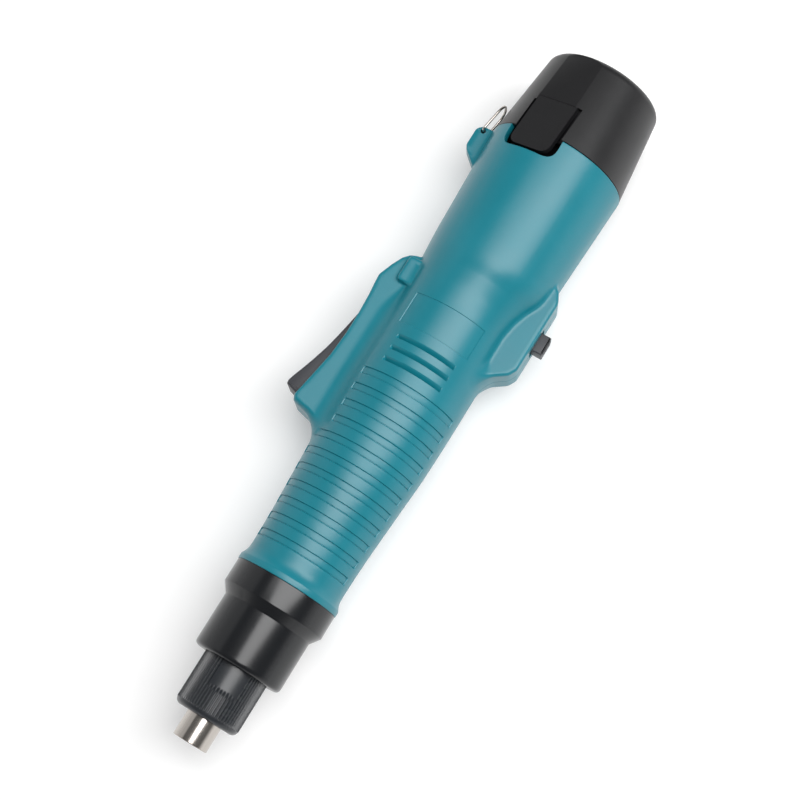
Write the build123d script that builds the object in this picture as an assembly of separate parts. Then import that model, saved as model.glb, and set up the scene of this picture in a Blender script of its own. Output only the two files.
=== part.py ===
from build123d import *
import math
import os

# Cordless screwdriver with a start lever, in millimetres.
# X runs along the drive axis from the bit mouth to the battery, Y points to the lever side,
# and Z points out of the front half of the casing. The tool lies on its back half.

# Clearances that are shared
RUN = 0.05              # shaft in its bush, radial
SEAT = 0.1              # one fixed piece seated in another
FREE = 0.3              # moving piece beside a fixed one

# Casing
WALL = 1.9
NECK_R = 17.66          # narrowest place of the grip, behind the front rim
GRIP_R = 20.3           # widest place of the grip
RIM_OUT = 1.29          # the front rim stands out this far over the neck
RIM_R = NECK_R + RIM_OUT
RIM_LEN = 2.0
FLARE_LEN = 4.5
SHELL_X0 = 59.5
NECK_X1 = 75.0
GRIP_X1 = 134.0
SHOULDER_X0 = 165.0
SHOULDER_X1 = 190.0
SHELL_X1 = 235.0        # seam to the battery
REAR_R0 = 23.2          # radius just behind the shoulder
REAR_R1 = 25.0          # radius at the battery seam
REAR_SHIFT = 2.2        # the rear body bulges to the switch side

# Grip bands, vents and the bare panel, as angles from +Z towards +Y
BAND_COUNT = 11
BAND_X0 = 70.7
BAND_PITCH = 6.31
BAND_WIDTH = 2.4
BAND_DEPTH = 0.4
BAND_ANGLES = (-72.0, 76.0)
VENT_COUNT = 3
VENT_X0 = 140.8
VENT_PITCH = 4.3
VENT_WIDTH = 2.0
VENT_DEPTH = 1.3        # the vents are moulded in, and a thin floor stays behind them
VENT_ANGLE = 34.0
PANEL_X = (153.3, 165.6)
PANEL_ANGLE = 40.0
PANEL_DEPTH = 0.3

# Lever guard, lever and its pivot
GUARD_HALF = 8.0
GUARD_EDGE = 1.6
GUARD_OUTLINE = [
    (108.0, 15.0), (109.4, 19.9), (111.6, 26.5), (113.5, 31.3), (115.5, 32.4), (119.0, 32.2),
    (131.0, 30.4), (147.0, 29.3), (158.0, 30.2), (166.7, 31.0), (169.6, 30.2), (174.1, 28.3),
    (177.0, 26.4), (179.3, 23.6), (181.5, 15.0),
]
LEVER_HALF = 5.5
PIVOT_X = 173.0
PIVOT_Y = 23.0
PIVOT_R = 3.2
PIVOT_PIN_R = 1.5
PIVOT_BLOCK_HALF = 10.5
LEVER_CURVE = [
    (121.8, 36.9), (125.0, 35.6), (130.4, 33.7), (135.8, 32.0), (141.0, 30.8), (147.0, 30.1),
    (154.0, 29.2), (162.0, 27.8),
]
LEVER_TIP = (118.4, 37.4)
LEVER_HEEL = (116.9, 32.0)
POCKET_FLOOR = 21.0
POCKET_X0 = 116.3
ROOF_X = 157.0
FINGER_X = 153.0
FINGER_Y = 20.2
LEVER_SPRING_X = 135.0
LEVER_SPRING_TOP = 29.0
SWITCH_TOP = GRIP_R - WALL - 0.8
SWITCH_HEIGHT = 6.2
SWITCH_X = (147.9, 160.6)
PLUNGER_R = 1.05
PIN_HALF = 9.0          # half length of the lever's pin

# Direction switch in its ear
EAR_HALF = 7.5
EAR_EDGE = 1.3
EAR_OUTLINE = [
    (150.5, -15.0), (152.7, -19.5), (158.5, -27.5), (160.7, -29.2), (190.9, -29.2),
    (195.0, -27.0), (196.6, -25.0), (199.0, -15.0),
]
EAR_FACE = 29.2
KNOB_X = (172.5, 179.8)
KNOB_OUT = 4.0
KNOB_HALF = 2.9
KNOB_TRAVEL = 1.3
DIR_SWITCH_X = (166.0, 183.0)
DIR_SWITCH_Y = (18.5, 26.0)

# Hang lug and ring
LUG_HALF = 3.0
LUG_OUTLINE = [
    (216.0, 18.0), (217.5, 22.0), (223.3, 29.0), (231.6, 29.0), (234.0, 28.0), (234.6, 26.0),
    (234.6, 18.0),
]
RING_X = 231.5
RING_Y = 26.2
RING_HOLE_R = 0.95
RING_WIRE_R = 0.43
RING_LENGTH = 12.5
RING_WIDTH = 9.9
RING_LEAN = 13.0

# Nose cone, torque ring and bit holder
NOSE_X0 = 28.3
NOSE_WALL = 2.3
NOSE_STEP_X = 47.4
NOSE_CONE_X = 51.0
NOSE_REAR_R = RIM_R - 0.2
NOSE_LIP_X = 30.3
NOSE_TAIL_LEN = 6.0
RING_X0 = 8.5
RING_R = 11.7
RING_BORE_R = 9.5
RIB_COUNT = 60
RIB_X0 = 11.0
RIB_DEPTH = 0.45
PANEL_RING_WIDTH = 10.5
PANEL_RING_X0 = 19.0
VIEW_ANGLE = -10.0      # the ring's bare panel faces the front, a little to the switch side
SLEEVE_R = 6.35
SLEEVE_LEN = 15.0
SLEEVE_GAP = 1.2        # between the sleeve and the torque ring's mouth
HOLDER_R = 5.0          # spindle outside inside the sleeve
HEX_ACROSS = 6.4        # socket for 6.35 mm hex bits
HEX_DEPTH = 16.0
MOUTH_R = 3.75
MOUTH_LEN = 2.5
BALL_X = 9.2
BIT_BALL_R = 1.2
SPINDLE_R = 4.0

# Gearbox; its size comes from the room in the casing's neck
TAIL_WALL = 0.81        # nose tail between the gearbox and the casing
GEARBOX_R = NECK_R - WALL - 2 * SEAT - TAIL_WALL
GEARBOX_WALL = 1.49     # ring gear outside its teeth
SUN_TEETH = 12
PLANET_TEETH = 15
RING_TEETH = 42
MODULE = (GEARBOX_R - GEARBOX_WALL) / (RING_TEETH / 2 + 1.1)
CENTRE = MODULE * (SUN_TEETH + PLANET_TEETH) / 2
GEAR_WIDTH = 5.6
CARRIER_PLATE = 2.0
PIN_R = 1.3
CARRIER_R = CENTRE + PIN_R + 1.2
PLANET_COUNT = 3
BACKLASH = 0.07         # share of the tooth pitch
GEARBOX_X0 = 60.0
STAGE_GAP = 1.7         # between the output stage's planets and the middle carrier
STAGE_X0 = GEARBOX_X0 + 2.3
STAGE_X = (STAGE_X0, STAGE_X0 + GEAR_WIDTH + CARRIER_PLATE + STAGE_GAP)
GEARBOX_X = (GEARBOX_X0, STAGE_X[1] + GEAR_WIDTH + 2.2)
PLATE_LEN = 2.6         # plate between gearbox and motor
NOSE_BORE_R = GEARBOX_R - 0.85
NOSE_R = NOSE_BORE_R + NOSE_WALL
CLUTCH_BORE_R = NOSE_BORE_R - 1.7
RING_LIP_R = NOSE_BORE_R - 1.2

# Motor
MOTOR_R = 14.3
MOTOR_X0 = GEARBOX_X[1] + PLATE_LEN
MOTOR_X = (MOTOR_X0, MOTOR_X0 + 50.0)
MOTOR_WALL = 1.3
SHAFT_R = 1.6
CORE_R = 8.9
CORE_X = (MOTOR_X0 + 10.0, MOTOR_X0 + 36.0)
MAGNET_X = (CORE_X[0] - 4.0, CORE_X[1] + 4.0)

# Battery
CELL_R = 9.2
CELL_LEN = 65.0
CELL_X0 = 195.0
STEM_WALL = 1.2
STEM_X0 = 189.0
BLADE_REACH = 3.4       # how far the contact blades stand in the stem
PACK_X1 = 268.2
PACK_END_R = 21.9
PACK_CORNER = 3.3
TONGUE_ANGLE = 30.0     # from +Z towards +Y, mirrored on the back half
TONGUE_WIDTH = 18.0
TONGUE_X = (228.5, 248.0)
TONGUE_CORNER = 6.0
TONGUE_R = (22.2, 24.8)
NOTCH_GAP = 1.0
LATCH_PIN_X = 246.5
LATCH_PIN_H = 21.9
LATCH_PIN_R = 0.7

CELL_RING = 2 * CELL_R / math.sqrt(3) + 0.02
BAY_X0 = 187.0          # back of the contact block
BAY_FRONT = 183.2
BOARD_X = (148.0, BAY_FRONT - 1.7)


def rod(x0, x1, r, y=0.0, z=0.0):
    """Cylinder along X."""
    low = (Align.CENTER, Align.CENTER, Align.MIN)
    return Pos(x0, y, z) * Rot(0, 90, 0) * Cylinder(r, x1 - x0, align=low)


def tube(x0, x1, r_out, r_in):
    return rod(x0, x1, r_out) - rod(x0 - 1, x1 + 1, r_in)


def post(x, y, z0, z1, r):
    """Cylinder along Z."""
    low = (Align.CENTER, Align.CENTER, Align.MIN)
    return Pos(x, y, z0) * Cylinder(r, z1 - z0, align=low)


def block(x0, x1, y0, y1, z0, z1):
    low = (Align.MIN, Align.MIN, Align.MIN)
    return Pos(x0, y0, z0) * Box(x1 - x0, y1 - y0, z1 - z0, align=low)


def turned(points):
    """Solid of revolution about the drive axis, from (x, radius) points."""
    return revolve(make_face(Polyline(*points, close=True)), Axis.X, 360)


def plate(points, half):
    """Plate of an XY outline, equally thick to both sides of the parting plane."""
    face = make_face(Polyline(*points, close=True))
    return extrude(Pos(0, 0, -half) * face, 2 * half, dir=(0, 0, 1))


def arc_block(x0, x1, r0, r1, a0, a1):
    """Sector of a ring about the drive axis; angles run from +Z towards +Y."""
    face = make_face(Polyline((x0, r0), (x1, r0), (x1, r1), (x0, r1), close=True))
    return revolve(Rot(90 - a1, 0, 0) * face, Axis.X, a1 - a0)


def facing(angle):
    """Place a solid drawn with its outside along +Z so that it faces the angle from +Z towards +Y."""
    return Pos(0, -REAR_SHIFT, 0) * Rot(-angle, 0, 0)


def coil(x0, length, radius, wire_r, turns):
    """Round-wire compression spring along X."""
    path = Helix(pitch=length / turns, height=length, radius=radius)
    section = Plane(origin=path @ 0, z_dir=path % 0) * Circle(wire_r)
    return Pos(x0, 0, 0) * Rot(0, 90, 0) * sweep(section, path=path)


def grip_solid(inset):
    """Turned front of the casing, from the nose to the shoulder; inset gives the cavity."""
    rim_x = SHELL_X0 + RIM_LEN
    neck_x = rim_x + FLARE_LEN
    rise = GRIP_R - NECK_R
    curve = [
        (neck_x, NECK_R - inset), (NECK_X1, NECK_R + 0.06 * rise - inset),
        (NECK_X1 + 0.42 * (GRIP_X1 - NECK_X1), NECK_R + 0.55 * rise - inset),
        (NECK_X1 + 0.70 * (GRIP_X1 - NECK_X1), NECK_R + 0.90 * rise - inset),
        (GRIP_X1, GRIP_R - inset),
    ]
    grip = Spline(*curve, tangents=[(1, 0), (1, 0)])
    end = BAY_FRONT if inset else SHOULDER_X1
    if inset:
        front = Line((SHELL_X0 - 1, NECK_R - inset), curve[0])
        edges = [front, grip]
        start = SHELL_X0 - 1
        first = NECK_R - inset
    else:
        flare = Spline((rim_x, RIM_R), curve[0], tangents=[(0.35, -1), (1, 0)])
        edges = [Line((SHELL_X0, RIM_R), (rim_x, RIM_R)), flare, grip]
        start = SHELL_X0
        first = RIM_R
    edges += [
        Line(curve[-1], (end, GRIP_R - inset)), Line((end, GRIP_R - inset), (end, 0)),
        Line((end, 0), (start, 0)), Line((start, 0), (start, first)),
    ]
    return Rot(-90, 0, 0) * revolve(make_face(edges), Axis.X, 360)


def rear_solid():
    """Rear body, turned about its shifted axis; its front swells out of the grip as the shoulder."""
    x1 = SHELL_X1 - FREE / 2
    x0 = SHOULDER_X0 - 4
    low = GRIP_R - REAR_SHIFT - 0.3
    swell = Spline((x0, low), (SHOULDER_X1, REAR_R0), tangents=[(1, 0), (1, 0.04)])
    edges = [
        swell, Line((SHOULDER_X1, REAR_R0), (x1, REAR_R1)), Line((x1, REAR_R1), (x1, 0)),
        Line((x1, 0), (x0, 0)), Line((x0, 0), (x0, low)),
    ]
    return Pos(0, -REAR_SHIFT, 0) * Rot(-90, 0, 0) * revolve(make_face(edges), Axis.X, 360)


def bay_radius(x):
    """Inside radius of the battery bay, about its shifted axis."""
    taper = (REAR_R1 - REAR_R0) / (SHELL_X1 - SHOULDER_X1)
    return REAR_R0 - WALL + taper * (x - SHOULDER_X1)


def cavity():
    """Space for gearbox, motor and board, opening into the battery bay."""
    x0, x1 = BAY_FRONT, SHELL_X1 + 5
    bay = turned([(x0, 0), (x0, bay_radius(x0)), (x1, bay_radius(x1)), (x1, 0)])
    return grip_solid(WALL) + Pos(0, -REAR_SHIFT, 0) * Rot(-90, 0, 0) * bay


def guard_solid():
    return chamfer_rim(plate(GUARD_OUTLINE, GUARD_HALF), GUARD_EDGE)


def chamfer_rim(solid, size):
    """Round the long edges of a plate's two faces."""
    rims = [f.edges() for f in solid.faces().filter_by(Axis.Z)]
    return fillet([e for rim in rims for e in rim], size)


def pivot_block():
    r = PIVOT_R + 1.8
    solid = post(PIVOT_X, PIVOT_Y, -PIVOT_BLOCK_HALF, PIVOT_BLOCK_HALF, r)
    base = block(PIVOT_X - r, PIVOT_X + r, PIVOT_Y - 7, PIVOT_Y, -PIVOT_BLOCK_HALF, PIVOT_BLOCK_HALF)
    return chamfer_rim(solid + base, 1.2)


def lever_pocket():
    """Space for the lever in its guard, with the window for its finger and the pin's hole."""
    half = LEVER_HALF + FREE
    roof = GUARD_OUTLINE[9][1] - WALL
    points = [
        (POCKET_X0, POCKET_FLOOR), (POCKET_X0, 36), (ROOF_X, 36), (ROOF_X, roof - 0.2),
        (167, roof - 0.6), (174.5, 27.0), (PIVOT_X + PIVOT_R + FREE, PIVOT_Y + 1.5),
        (PIVOT_X + PIVOT_R + FREE, PIVOT_Y - PIVOT_R - FREE),
        (PIVOT_X - PIVOT_R - 3, PIVOT_Y - PIVOT_R - FREE), (PIVOT_X - PIVOT_R - 5, POCKET_FLOOR),
    ]
    window = block(FINGER_X - 2.4, FINGER_X + 2.4, 12, POCKET_FLOOR + 1, -2.6, 2.6)
    pin = post(PIVOT_X, PIVOT_Y, -PIN_HALF - SEAT, PIN_HALF + SEAT, PIVOT_PIN_R + SEAT / 5)
    return plate(points, half) + window + pin


def lever():
    tip_x, tip_y = LEVER_TIP
    back_x = PIVOT_X - 1.0
    outer = Spline((tip_x + 1.2, tip_y - 0.05), *LEVER_CURVE, (back_x, PIVOT_Y + PIVOT_R))
    under = [
        (back_x, PIVOT_Y + PIVOT_R), (back_x, PIVOT_Y - PIVOT_R), (166.0, 22.4), (150.0, 24.0),
        (120.0, 26.4), (LEVER_HEEL[0] + 0.6, 27.4), LEVER_HEEL, (tip_x - 0.3, tip_y - 0.7),
        (tip_x + 1.2, tip_y - 0.05),
    ]
    face = make_face([outer, Polyline(*under)])
    half = LEVER_HALF
    arm = extrude(Pos(0, 0, -half) * face, 2 * half, dir=(0, 0, 1))
    knuckle = post(PIVOT_X, PIVOT_Y, -half, half, PIVOT_R)
    finger = block(FINGER_X - 1.6, FINGER_X + 1.6, FINGER_Y, 25, -2, 2)
    seat = Pos(LEVER_SPRING_X, 20, 0) * Rot(-90, 0, 0) * Cylinder(
        2.9, LEVER_SPRING_TOP - 20 + FREE, align=(Align.CENTER, Align.CENTER, Align.MIN)
    )
    hole = post(PIVOT_X, PIVOT_Y, -9, 9, PIVOT_PIN_R + RUN)
    return arm + knuckle + finger - seat - hole


def ear_solid():
    return chamfer_rim(plate(EAR_OUTLINE, EAR_HALF), EAR_EDGE)


def ear_pocket():
    half = EAR_HALF - WALL
    y0 = -(EAR_FACE - WALL)
    pocket = block(DIR_SWITCH_X[0] - FREE, DIR_SWITCH_X[1] + FREE, y0, -12, -half, half)
    x0 = KNOB_X[0] - KNOB_TRAVEL - 0.1
    x1 = KNOB_X[1] + KNOB_TRAVEL + 0.1
    slot = block(x0, x1, -EAR_FACE - 2, y0 + 1, -KNOB_HALF - 0.25, KNOB_HALF + 0.25)
    return pocket + slot


def lug_solid():
    solid = chamfer_rim(plate(LUG_OUTLINE, LUG_HALF), 0.6)
    return solid - post(RING_X, RING_Y, -5, 5, RING_HOLE_R)


SCREW_PLACES = [(144.5, -14.0), (144.5, 14.0), (161.6, -23.4), (191.6, -24.2), (182.0, 17.6)]
SCREW_R = 1.25
SCREW_HEAD_R = 2.4
SCREW_SEAT_Z = -6.0     # the heads sit in deep recesses of the back half
BOSS_R = 2.9
HEAD_BOSS_R = SCREW_HEAD_R + FREE + 1.0


def screw_boss(x, y):
    """Pillar round a casing screw, through both halves and wider round the head."""
    return post(x, y, -16, 16, BOSS_R) + post(x, y, -16, SCREW_SEAT_Z + 1.2, HEAD_BOSS_R)


def screw_cut(x, y):
    """Pilot hole in the front half and recess for the head in the back half."""
    pilot = post(x, y, SCREW_SEAT_Z - 4, 7.5, SCREW_R + RUN)
    return pilot + post(x, y, -30, SCREW_SEAT_Z, SCREW_HEAD_R + FREE)


def tongue_prism(width, x0, x1, r0, r1):
    """Rounded tongue outline, pushed out from r0 to r1 along +Z, before it faces its side."""
    long = 2 * (x1 - x0)
    outline = RectangleRounded(long, width, min(TONGUE_CORNER, width / 2 - 0.1))
    return extrude(Pos(x0 + long / 2, 0, r0) * outline, r1 - r0, dir=(0, 0, 1))


def casing():
    """Outside of the casing without its cavity, then all that is cut from it."""
    outside = grip_solid(0) + rear_solid()
    outside += guard_solid() + pivot_block() + ear_solid() + lug_solid()
    solid = outside - cavity()
    bosses = [screw_boss(x, y) for x, y in SCREW_PLACES]
    solid += [outside & boss for boss in bosses]
    cuts = [lever_pocket(), ear_pocket()]
    cuts += [screw_cut(x, y) for x, y in SCREW_PLACES]
    for mirrored in (False, True):
        cuts += surface_cuts(mirrored)
    return solid - cuts


def surface_cuts(mirrored):
    """Grip bands, vents and latch notch of one half."""
    flip = Rot(180, 0, 0) if mirrored else Rot(0, 0, 0)
    low, high = BAND_ANGLES
    if mirrored:
        low, high = -BAND_ANGLES[1], -BAND_ANGLES[0]
    out = []
    foot = 90 - math.degrees(math.asin((GUARD_HALF + GUARD_EDGE) / GRIP_R))
    for i in range(BAND_COUNT):
        x = BAND_X0 + i * BAND_PITCH
        r = grip_radius(x) - BAND_DEPTH
        a0, a1 = low, high
        if x > GUARD_OUTLINE[0][0] - BAND_WIDTH:
            a0, a1 = (max(low, -foot), high) if mirrored else (low, min(high, foot))
        band = arc_block(x - BAND_WIDTH / 2, x + BAND_WIDTH / 2, r, r + 1.6, a0, a1)
        out.append(flip * band)
    for i in range(VENT_COUNT):
        x = VENT_X0 + i * VENT_PITCH
        r = GRIP_R - VENT_DEPTH
        vent = arc_block(x - VENT_WIDTH / 2, x + VENT_WIDTH / 2, r, r + 5, -VENT_ANGLE, VENT_ANGLE)
        out.append(flip * vent)
    angle = 180 - TONGUE_ANGLE if mirrored else TONGUE_ANGLE
    width = TONGUE_WIDTH + 4 * NOTCH_GAP
    notch = tongue_prism(width, TONGUE_X[0] - NOTCH_GAP, SHELL_X1 + 8, 12, 32)
    out.append(facing(angle) * notch)
    return out


def grip_radius(x):
    """Radius of the grip's outside at x, along the same stations as its curve."""
    stations = [
        (SHELL_X0, 0.0), (NECK_X1, 0.06), (NECK_X1 + 0.42 * (GRIP_X1 - NECK_X1), 0.55),
        (NECK_X1 + 0.70 * (GRIP_X1 - NECK_X1), 0.90), (GRIP_X1, 1.0), (SHOULDER_X0, 1.0),
    ]
    for (xa, a), (xb, b) in zip(stations, stations[1:]):
        if x <= xb:
            share = a + (b - a) * (x - xa) / (xb - xa)
            return NECK_R + share * (GRIP_R - NECK_R)
    return GRIP_R


def shells():
    body = casing()
    big = 300
    front = body & block(0, big, -60, 60, 0, 60)
    back = body & block(0, big, -60, 60, -60, 0)
    panel = arc_block(
        PANEL_X[0], PANEL_X[1], GRIP_R - PANEL_DEPTH, GRIP_R + 1, -PANEL_ANGLE, PANEL_ANGLE
    )
    return front - panel, back


def nose_cone():
    tail_r = NECK_R - WALL - SEAT
    tail_x = SHELL_X0 + NOSE_TAIL_LEN
    body = turned([
        (NOSE_X0, 0), (NOSE_X0, NOSE_R), (NOSE_STEP_X, NOSE_R), (NOSE_CONE_X, NOSE_REAR_R),
        (SHELL_X0, NOSE_REAR_R), (SHELL_X0, tail_r), (tail_x, tail_r), (tail_x, 0),
    ])
    front_rim = body.edges().filter_by(GeomType.CIRCLE).sort_by(Axis.X)[0]
    body = fillet(front_rim, 1.4)
    bore = rod(NOSE_X0 - 1, NOSE_LIP_X + 1, RING_R + FREE)
    bore += rod(NOSE_LIP_X, GEARBOX_X[0], NOSE_BORE_R)
    bore += rod(GEARBOX_X[0] - 0.1, tail_x + 1, GEARBOX_R + SEAT)
    return body - bore


def ribbed_bar(x0, x1, r_out, r_in, count):
    """Bar with fine straight ribs all round."""
    points = []
    for i in range(count):
        for share, r in ((-0.36, r_in), (-0.17, r_out), (0.17, r_out), (0.36, r_in)):
            a = 2 * math.pi * (i + share) / count
            points.append((r * math.cos(a), r * math.sin(a)))
    face = make_face(Polyline(*points, close=True))
    return Pos(x0, 0, 0) * Rot(0, 90, 0) * extrude(face, x1 - x0, dir=(0, 0, 1))


def torque_ring():
    root = RING_R - RIB_DEPTH
    rib_x1 = NOSE_X0 + 1.0
    body = turned([
        (RING_X0, 0), (RING_X0, RING_R - 2.2), (RING_X0 + 0.7, RING_R - 0.8),
        (RING_X0 + 2.0, RING_R - 0.1), (RIB_X0, RING_R), (RIB_X0, root), (NOSE_LIP_X + FREE, root),
        (NOSE_LIP_X + FREE, RING_LIP_R), (NOSE_LIP_X + FREE + 1.4, RING_LIP_R),
        (NOSE_LIP_X + FREE + 1.4, 0),
    ])
    body += ribbed_bar(RIB_X0, rib_x1, RING_R, root - 0.02, RIB_COUNT)
    half = math.degrees(PANEL_RING_WIDTH / 2 / RING_R)
    body += arc_block(
        PANEL_RING_X0, rib_x1, root - 1, RING_R, VIEW_ANGLE - half, VIEW_ANGLE + half
    )
    bore = rod(RING_X0 - 1, 25, SLEEVE_R + SLEEVE_GAP) + rod(20.5, 40, RING_BORE_R)
    return body - bore


def thrust_collar():
    """Nut that the torque ring drives back against the clutch spring, with three fingers."""
    ring = tube(22.5, 27.5, RING_BORE_R - SEAT, 6.7)
    fingers = [arc_block(27.4, 37.2, 6.8, 8.5, a - 30, a + 30) for a in (0, 120, 240)]
    return ring + fingers


def clutch_housing():
    x0 = NOSE_LIP_X + FREE + 2.4
    outer_r = NOSE_BORE_R - SEAT
    body = turned([
        (24.0, 4.9), (24.0, 6.4), (x0, 6.4), (x0, outer_r), (GEARBOX_X[0], outer_r),
        (GEARBOX_X[0], CLUTCH_BORE_R), (x0 + 3, CLUTCH_BORE_R), (x0 + 3, 4.9),
    ])
    return body - [arc_block(x0 - 1, x0 + 4, 6.5, 8.9, a - 35, a + 35) for a in (0, 120, 240)]


def spindle():
    body = turned([
        (0, 0), (0, HOLDER_R - 0.3), (0.3, HOLDER_R), (0.95, HOLDER_R), (0.95, HOLDER_R - 0.5),
        (1.75, HOLDER_R - 0.5), (1.75, HOLDER_R), (11.2, HOLDER_R), (11.2, 4.6), (18.3, 4.6),
        (18.3, 5.6), (20.0, 5.6), (20.0, SPINDLE_R), (54.9, SPINDLE_R), (54.9, 0),
    ])
    hexagon = RegularPolygon(HEX_ACROSS / 2, 6, major_radius=False)
    socket = Pos(-1, 0, 0) * Rot(0, 90, 0) * extrude(hexagon, HEX_DEPTH + 1, dir=(0, 0, 1))
    body -= socket + rod(-1, MOUTH_LEN, MOUTH_R)
    hole = Pos(BALL_X, 0, 0) * Rot(90, 0, 0) * Cylinder(BIT_BALL_R + RUN, 14)
    return body - hole


def bit_balls():
    r = HOLDER_R - BIT_BALL_R - 0.05
    return Compound([Pos(BALL_X, side * r, 0) * Sphere(BIT_BALL_R) for side in (-1, 1)])


def retaining_clip():
    ring = tube(1.0, 1.7, HOLDER_R + 0.45, HOLDER_R - 0.45)
    return ring - block(0, 3, -1.2, 1.2, 0, 9)


def chuck_sleeve():
    bore = HOLDER_R + SEAT
    wide = HOLDER_R + 0.7
    return turned([
        (0.0, wide), (0.0, SLEEVE_R - 0.5), (0.5, SLEEVE_R), (SLEEVE_LEN, SLEEVE_R),
        (SLEEVE_LEN, wide), (11.0, wide), (11.0, bore), (7.6, bore), (7.6, wide), (4.8, wide),
        (4.8, bore), (1.8, bore), (1.8, wide),
    ])


def involute(base, r):
    """Angle of an involute of the base circle at radius r."""
    t = math.sqrt(max(0.0, (r / base) ** 2 - 1))
    return t - math.atan(t)


def gear_outline(teeth, phase, inside=False):
    """Points of a spur gear's teeth; phase is the angle of one tooth's middle."""
    r = MODULE * teeth / 2
    base = r * math.cos(math.radians(20))
    tip, root = (r + 0.9 * MODULE, r - 1.15 * MODULE)
    if inside:
        tip, root = (r + 1.1 * MODULE, r - 0.75 * MODULE)
    spare = BACKLASH if inside else -BACKLASH
    half = math.pi * (0.5 + spare) / teeth
    points = []
    for i in range(teeth):
        middle = phase + 2 * math.pi * i / teeth
        flank = []
        for rr in (root, max(root + 0.05, base), r, tip):
            a = half + involute(base, r) - involute(base, max(rr, base))
            flank.append((rr, a))
        for rr, a in flank:
            points.append((rr * math.cos(middle - a), rr * math.sin(middle - a)))
        for rr, a in reversed(flank):
            points.append((rr * math.cos(middle + a), rr * math.sin(middle + a)))
    return points


def gear(teeth, x0, width, phase, bore):
    """Spur gear on the drive axis; angles run from +Y towards +Z."""
    face = Plane.YZ * make_face(Polyline(*gear_outline(teeth, phase), close=True))
    body = Pos(x0, 0, 0) * extrude(face, width, dir=(1, 0, 0))
    return body - rod(x0 - 1, x0 + width + 1, bore) if bore else body


def planet_phase(angle, sun_phase):
    """Phase of a planet at an angle round the sun, so that their teeth mesh."""
    steps = (angle - sun_phase) * SUN_TEETH / (2 * math.pi)
    return angle + math.pi + (steps + 0.5) * 2 * math.pi / PLANET_TEETH


def planet_angle(k):
    return 2 * math.pi * k / PLANET_COUNT


def planets(stage_x):
    """The planets of one stage, in mesh with a sun whose tooth stands on +Y."""
    out = []
    for k in range(PLANET_COUNT):
        a = planet_angle(k)
        wheel = gear(PLANET_TEETH, stage_x + FREE, GEAR_WIDTH, planet_phase(a, 0.0), PIN_R + RUN)
        out.append(Pos(0, CENTRE * math.cos(a), CENTRE * math.sin(a)) * wheel)
    return out


def ring_gear():
    """Ring gear of both stages; its spaces meet the teeth of the planet on +Y."""
    phase = planet_phase(0.0, 0.0)
    step = (0.0 - phase) * PLANET_TEETH / (2 * math.pi)
    space = -step * 2 * math.pi / RING_TEETH
    face = Plane.YZ * make_face(Polyline(*gear_outline(RING_TEETH, space, True), close=True))
    x0, x1 = GEARBOX_X
    hollow = Pos(x0 - 1, 0, 0) * extrude(face, x1 - x0 + 2, dir=(1, 0, 0))
    return rod(x0, x1, GEARBOX_R) - hollow


def carrier_pins(x0):
    pins = []
    for k in range(PLANET_COUNT):
        a = planet_angle(k)
        pins.append(rod(x0 - 0.5, x0 + GEAR_WIDTH + FREE + 0.2, PIN_R,
                        CENTRE * math.cos(a), CENTRE * math.sin(a)))
    return pins


def output_carrier():
    x1 = STAGE_X[0]
    body = rod(55.2, 56.6, CLUTCH_BORE_R - 1.7) + rod(56.5, x1 - CARRIER_PLATE + 0.1, 7.0)
    body += rod(x1 - CARRIER_PLATE, x1, CARRIER_R)
    return body + carrier_pins(x1)


def middle_carrier():
    x1 = STAGE_X[1]
    x0 = x1 - CARRIER_PLATE
    sun = gear(SUN_TEETH, STAGE_X[0] + FREE, GEAR_WIDTH, 0.0, 0)
    return rod(x0, x1, CARRIER_R) + carrier_pins(x1) + sun + rod(x0 - 1.5, x0 + 0.1, 2.8)


def clutch_ring():
    return tube(49.1, 52.3, CLUTCH_BORE_R - 0.6, SPINDLE_R)


def clutch_balls():
    out = []
    for k in range(6):
        a = math.radians(60 * k)
        out.append(Pos(53.75, 8.5 * math.cos(a), 8.5 * math.sin(a)) * Sphere(1.4))
    return Compound(out)


def gearbox_plate():
    return tube(GEARBOX_X[1], MOTOR_X[0], GEARBOX_R, 3.4)


def motor_can():
    x0, x1 = MOTOR_X
    body = rod(x0, x1, MOTOR_R) - rod(x0 + MOTOR_WALL, x1 + 1, MOTOR_R - MOTOR_WALL)
    flats = [block(x0 + 4, x1 - 4, s * MOTOR_R - 0.4, s * MOTOR_R + 0.4, -9, 9) for s in (-1, 1)]
    return body - flats - rod(x0 - 1, x0 + 3, 3.0)


def motor_magnets():
    r1 = MOTOR_R - MOTOR_WALL
    return Compound([arc_block(*MAGNET_X, CORE_R + 0.4, r1, a - 62, a + 62) for a in (0, 180)])


def motor_end_cap():
    x1 = MOTOR_X[1]
    body = rod(x1, x1 + 5, MOTOR_R - 0.1) + rod(x1 - 1.5, x1, MOTOR_R - MOTOR_WALL - SEAT)
    body += rod(x1 + 4.9, x1 + 6.5, 4.6)
    body -= rod(x1 - 3, x1 + 1.5, 9.0) + rod(x1, x1 + 5.5, 3.0)
    tabs = [block(x1 + 4.5, x1 + 8.0, -1.6, 1.6, s * 9.5 - 0.3, s * 9.5 + 0.3) for s in (-1, 1)]
    return body + tabs


def motor_bushes():
    x0, x1 = MOTOR_X
    front = tube(x0 - 1.0, x0 + 3.0, 3.0, SHAFT_R + RUN)
    rear = tube(x1 + 1.5, x1 + 5.5, 3.0, SHAFT_R + RUN)
    return Compound([front, rear])


def brushes():
    x1 = MOTOR_X[1]
    return Compound([block(x1 - 6, x1 - 2.5, -2, 2, s * 6.6 - 2.4, s * 6.6 + 2.4) for s in (-1, 1)])


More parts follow.
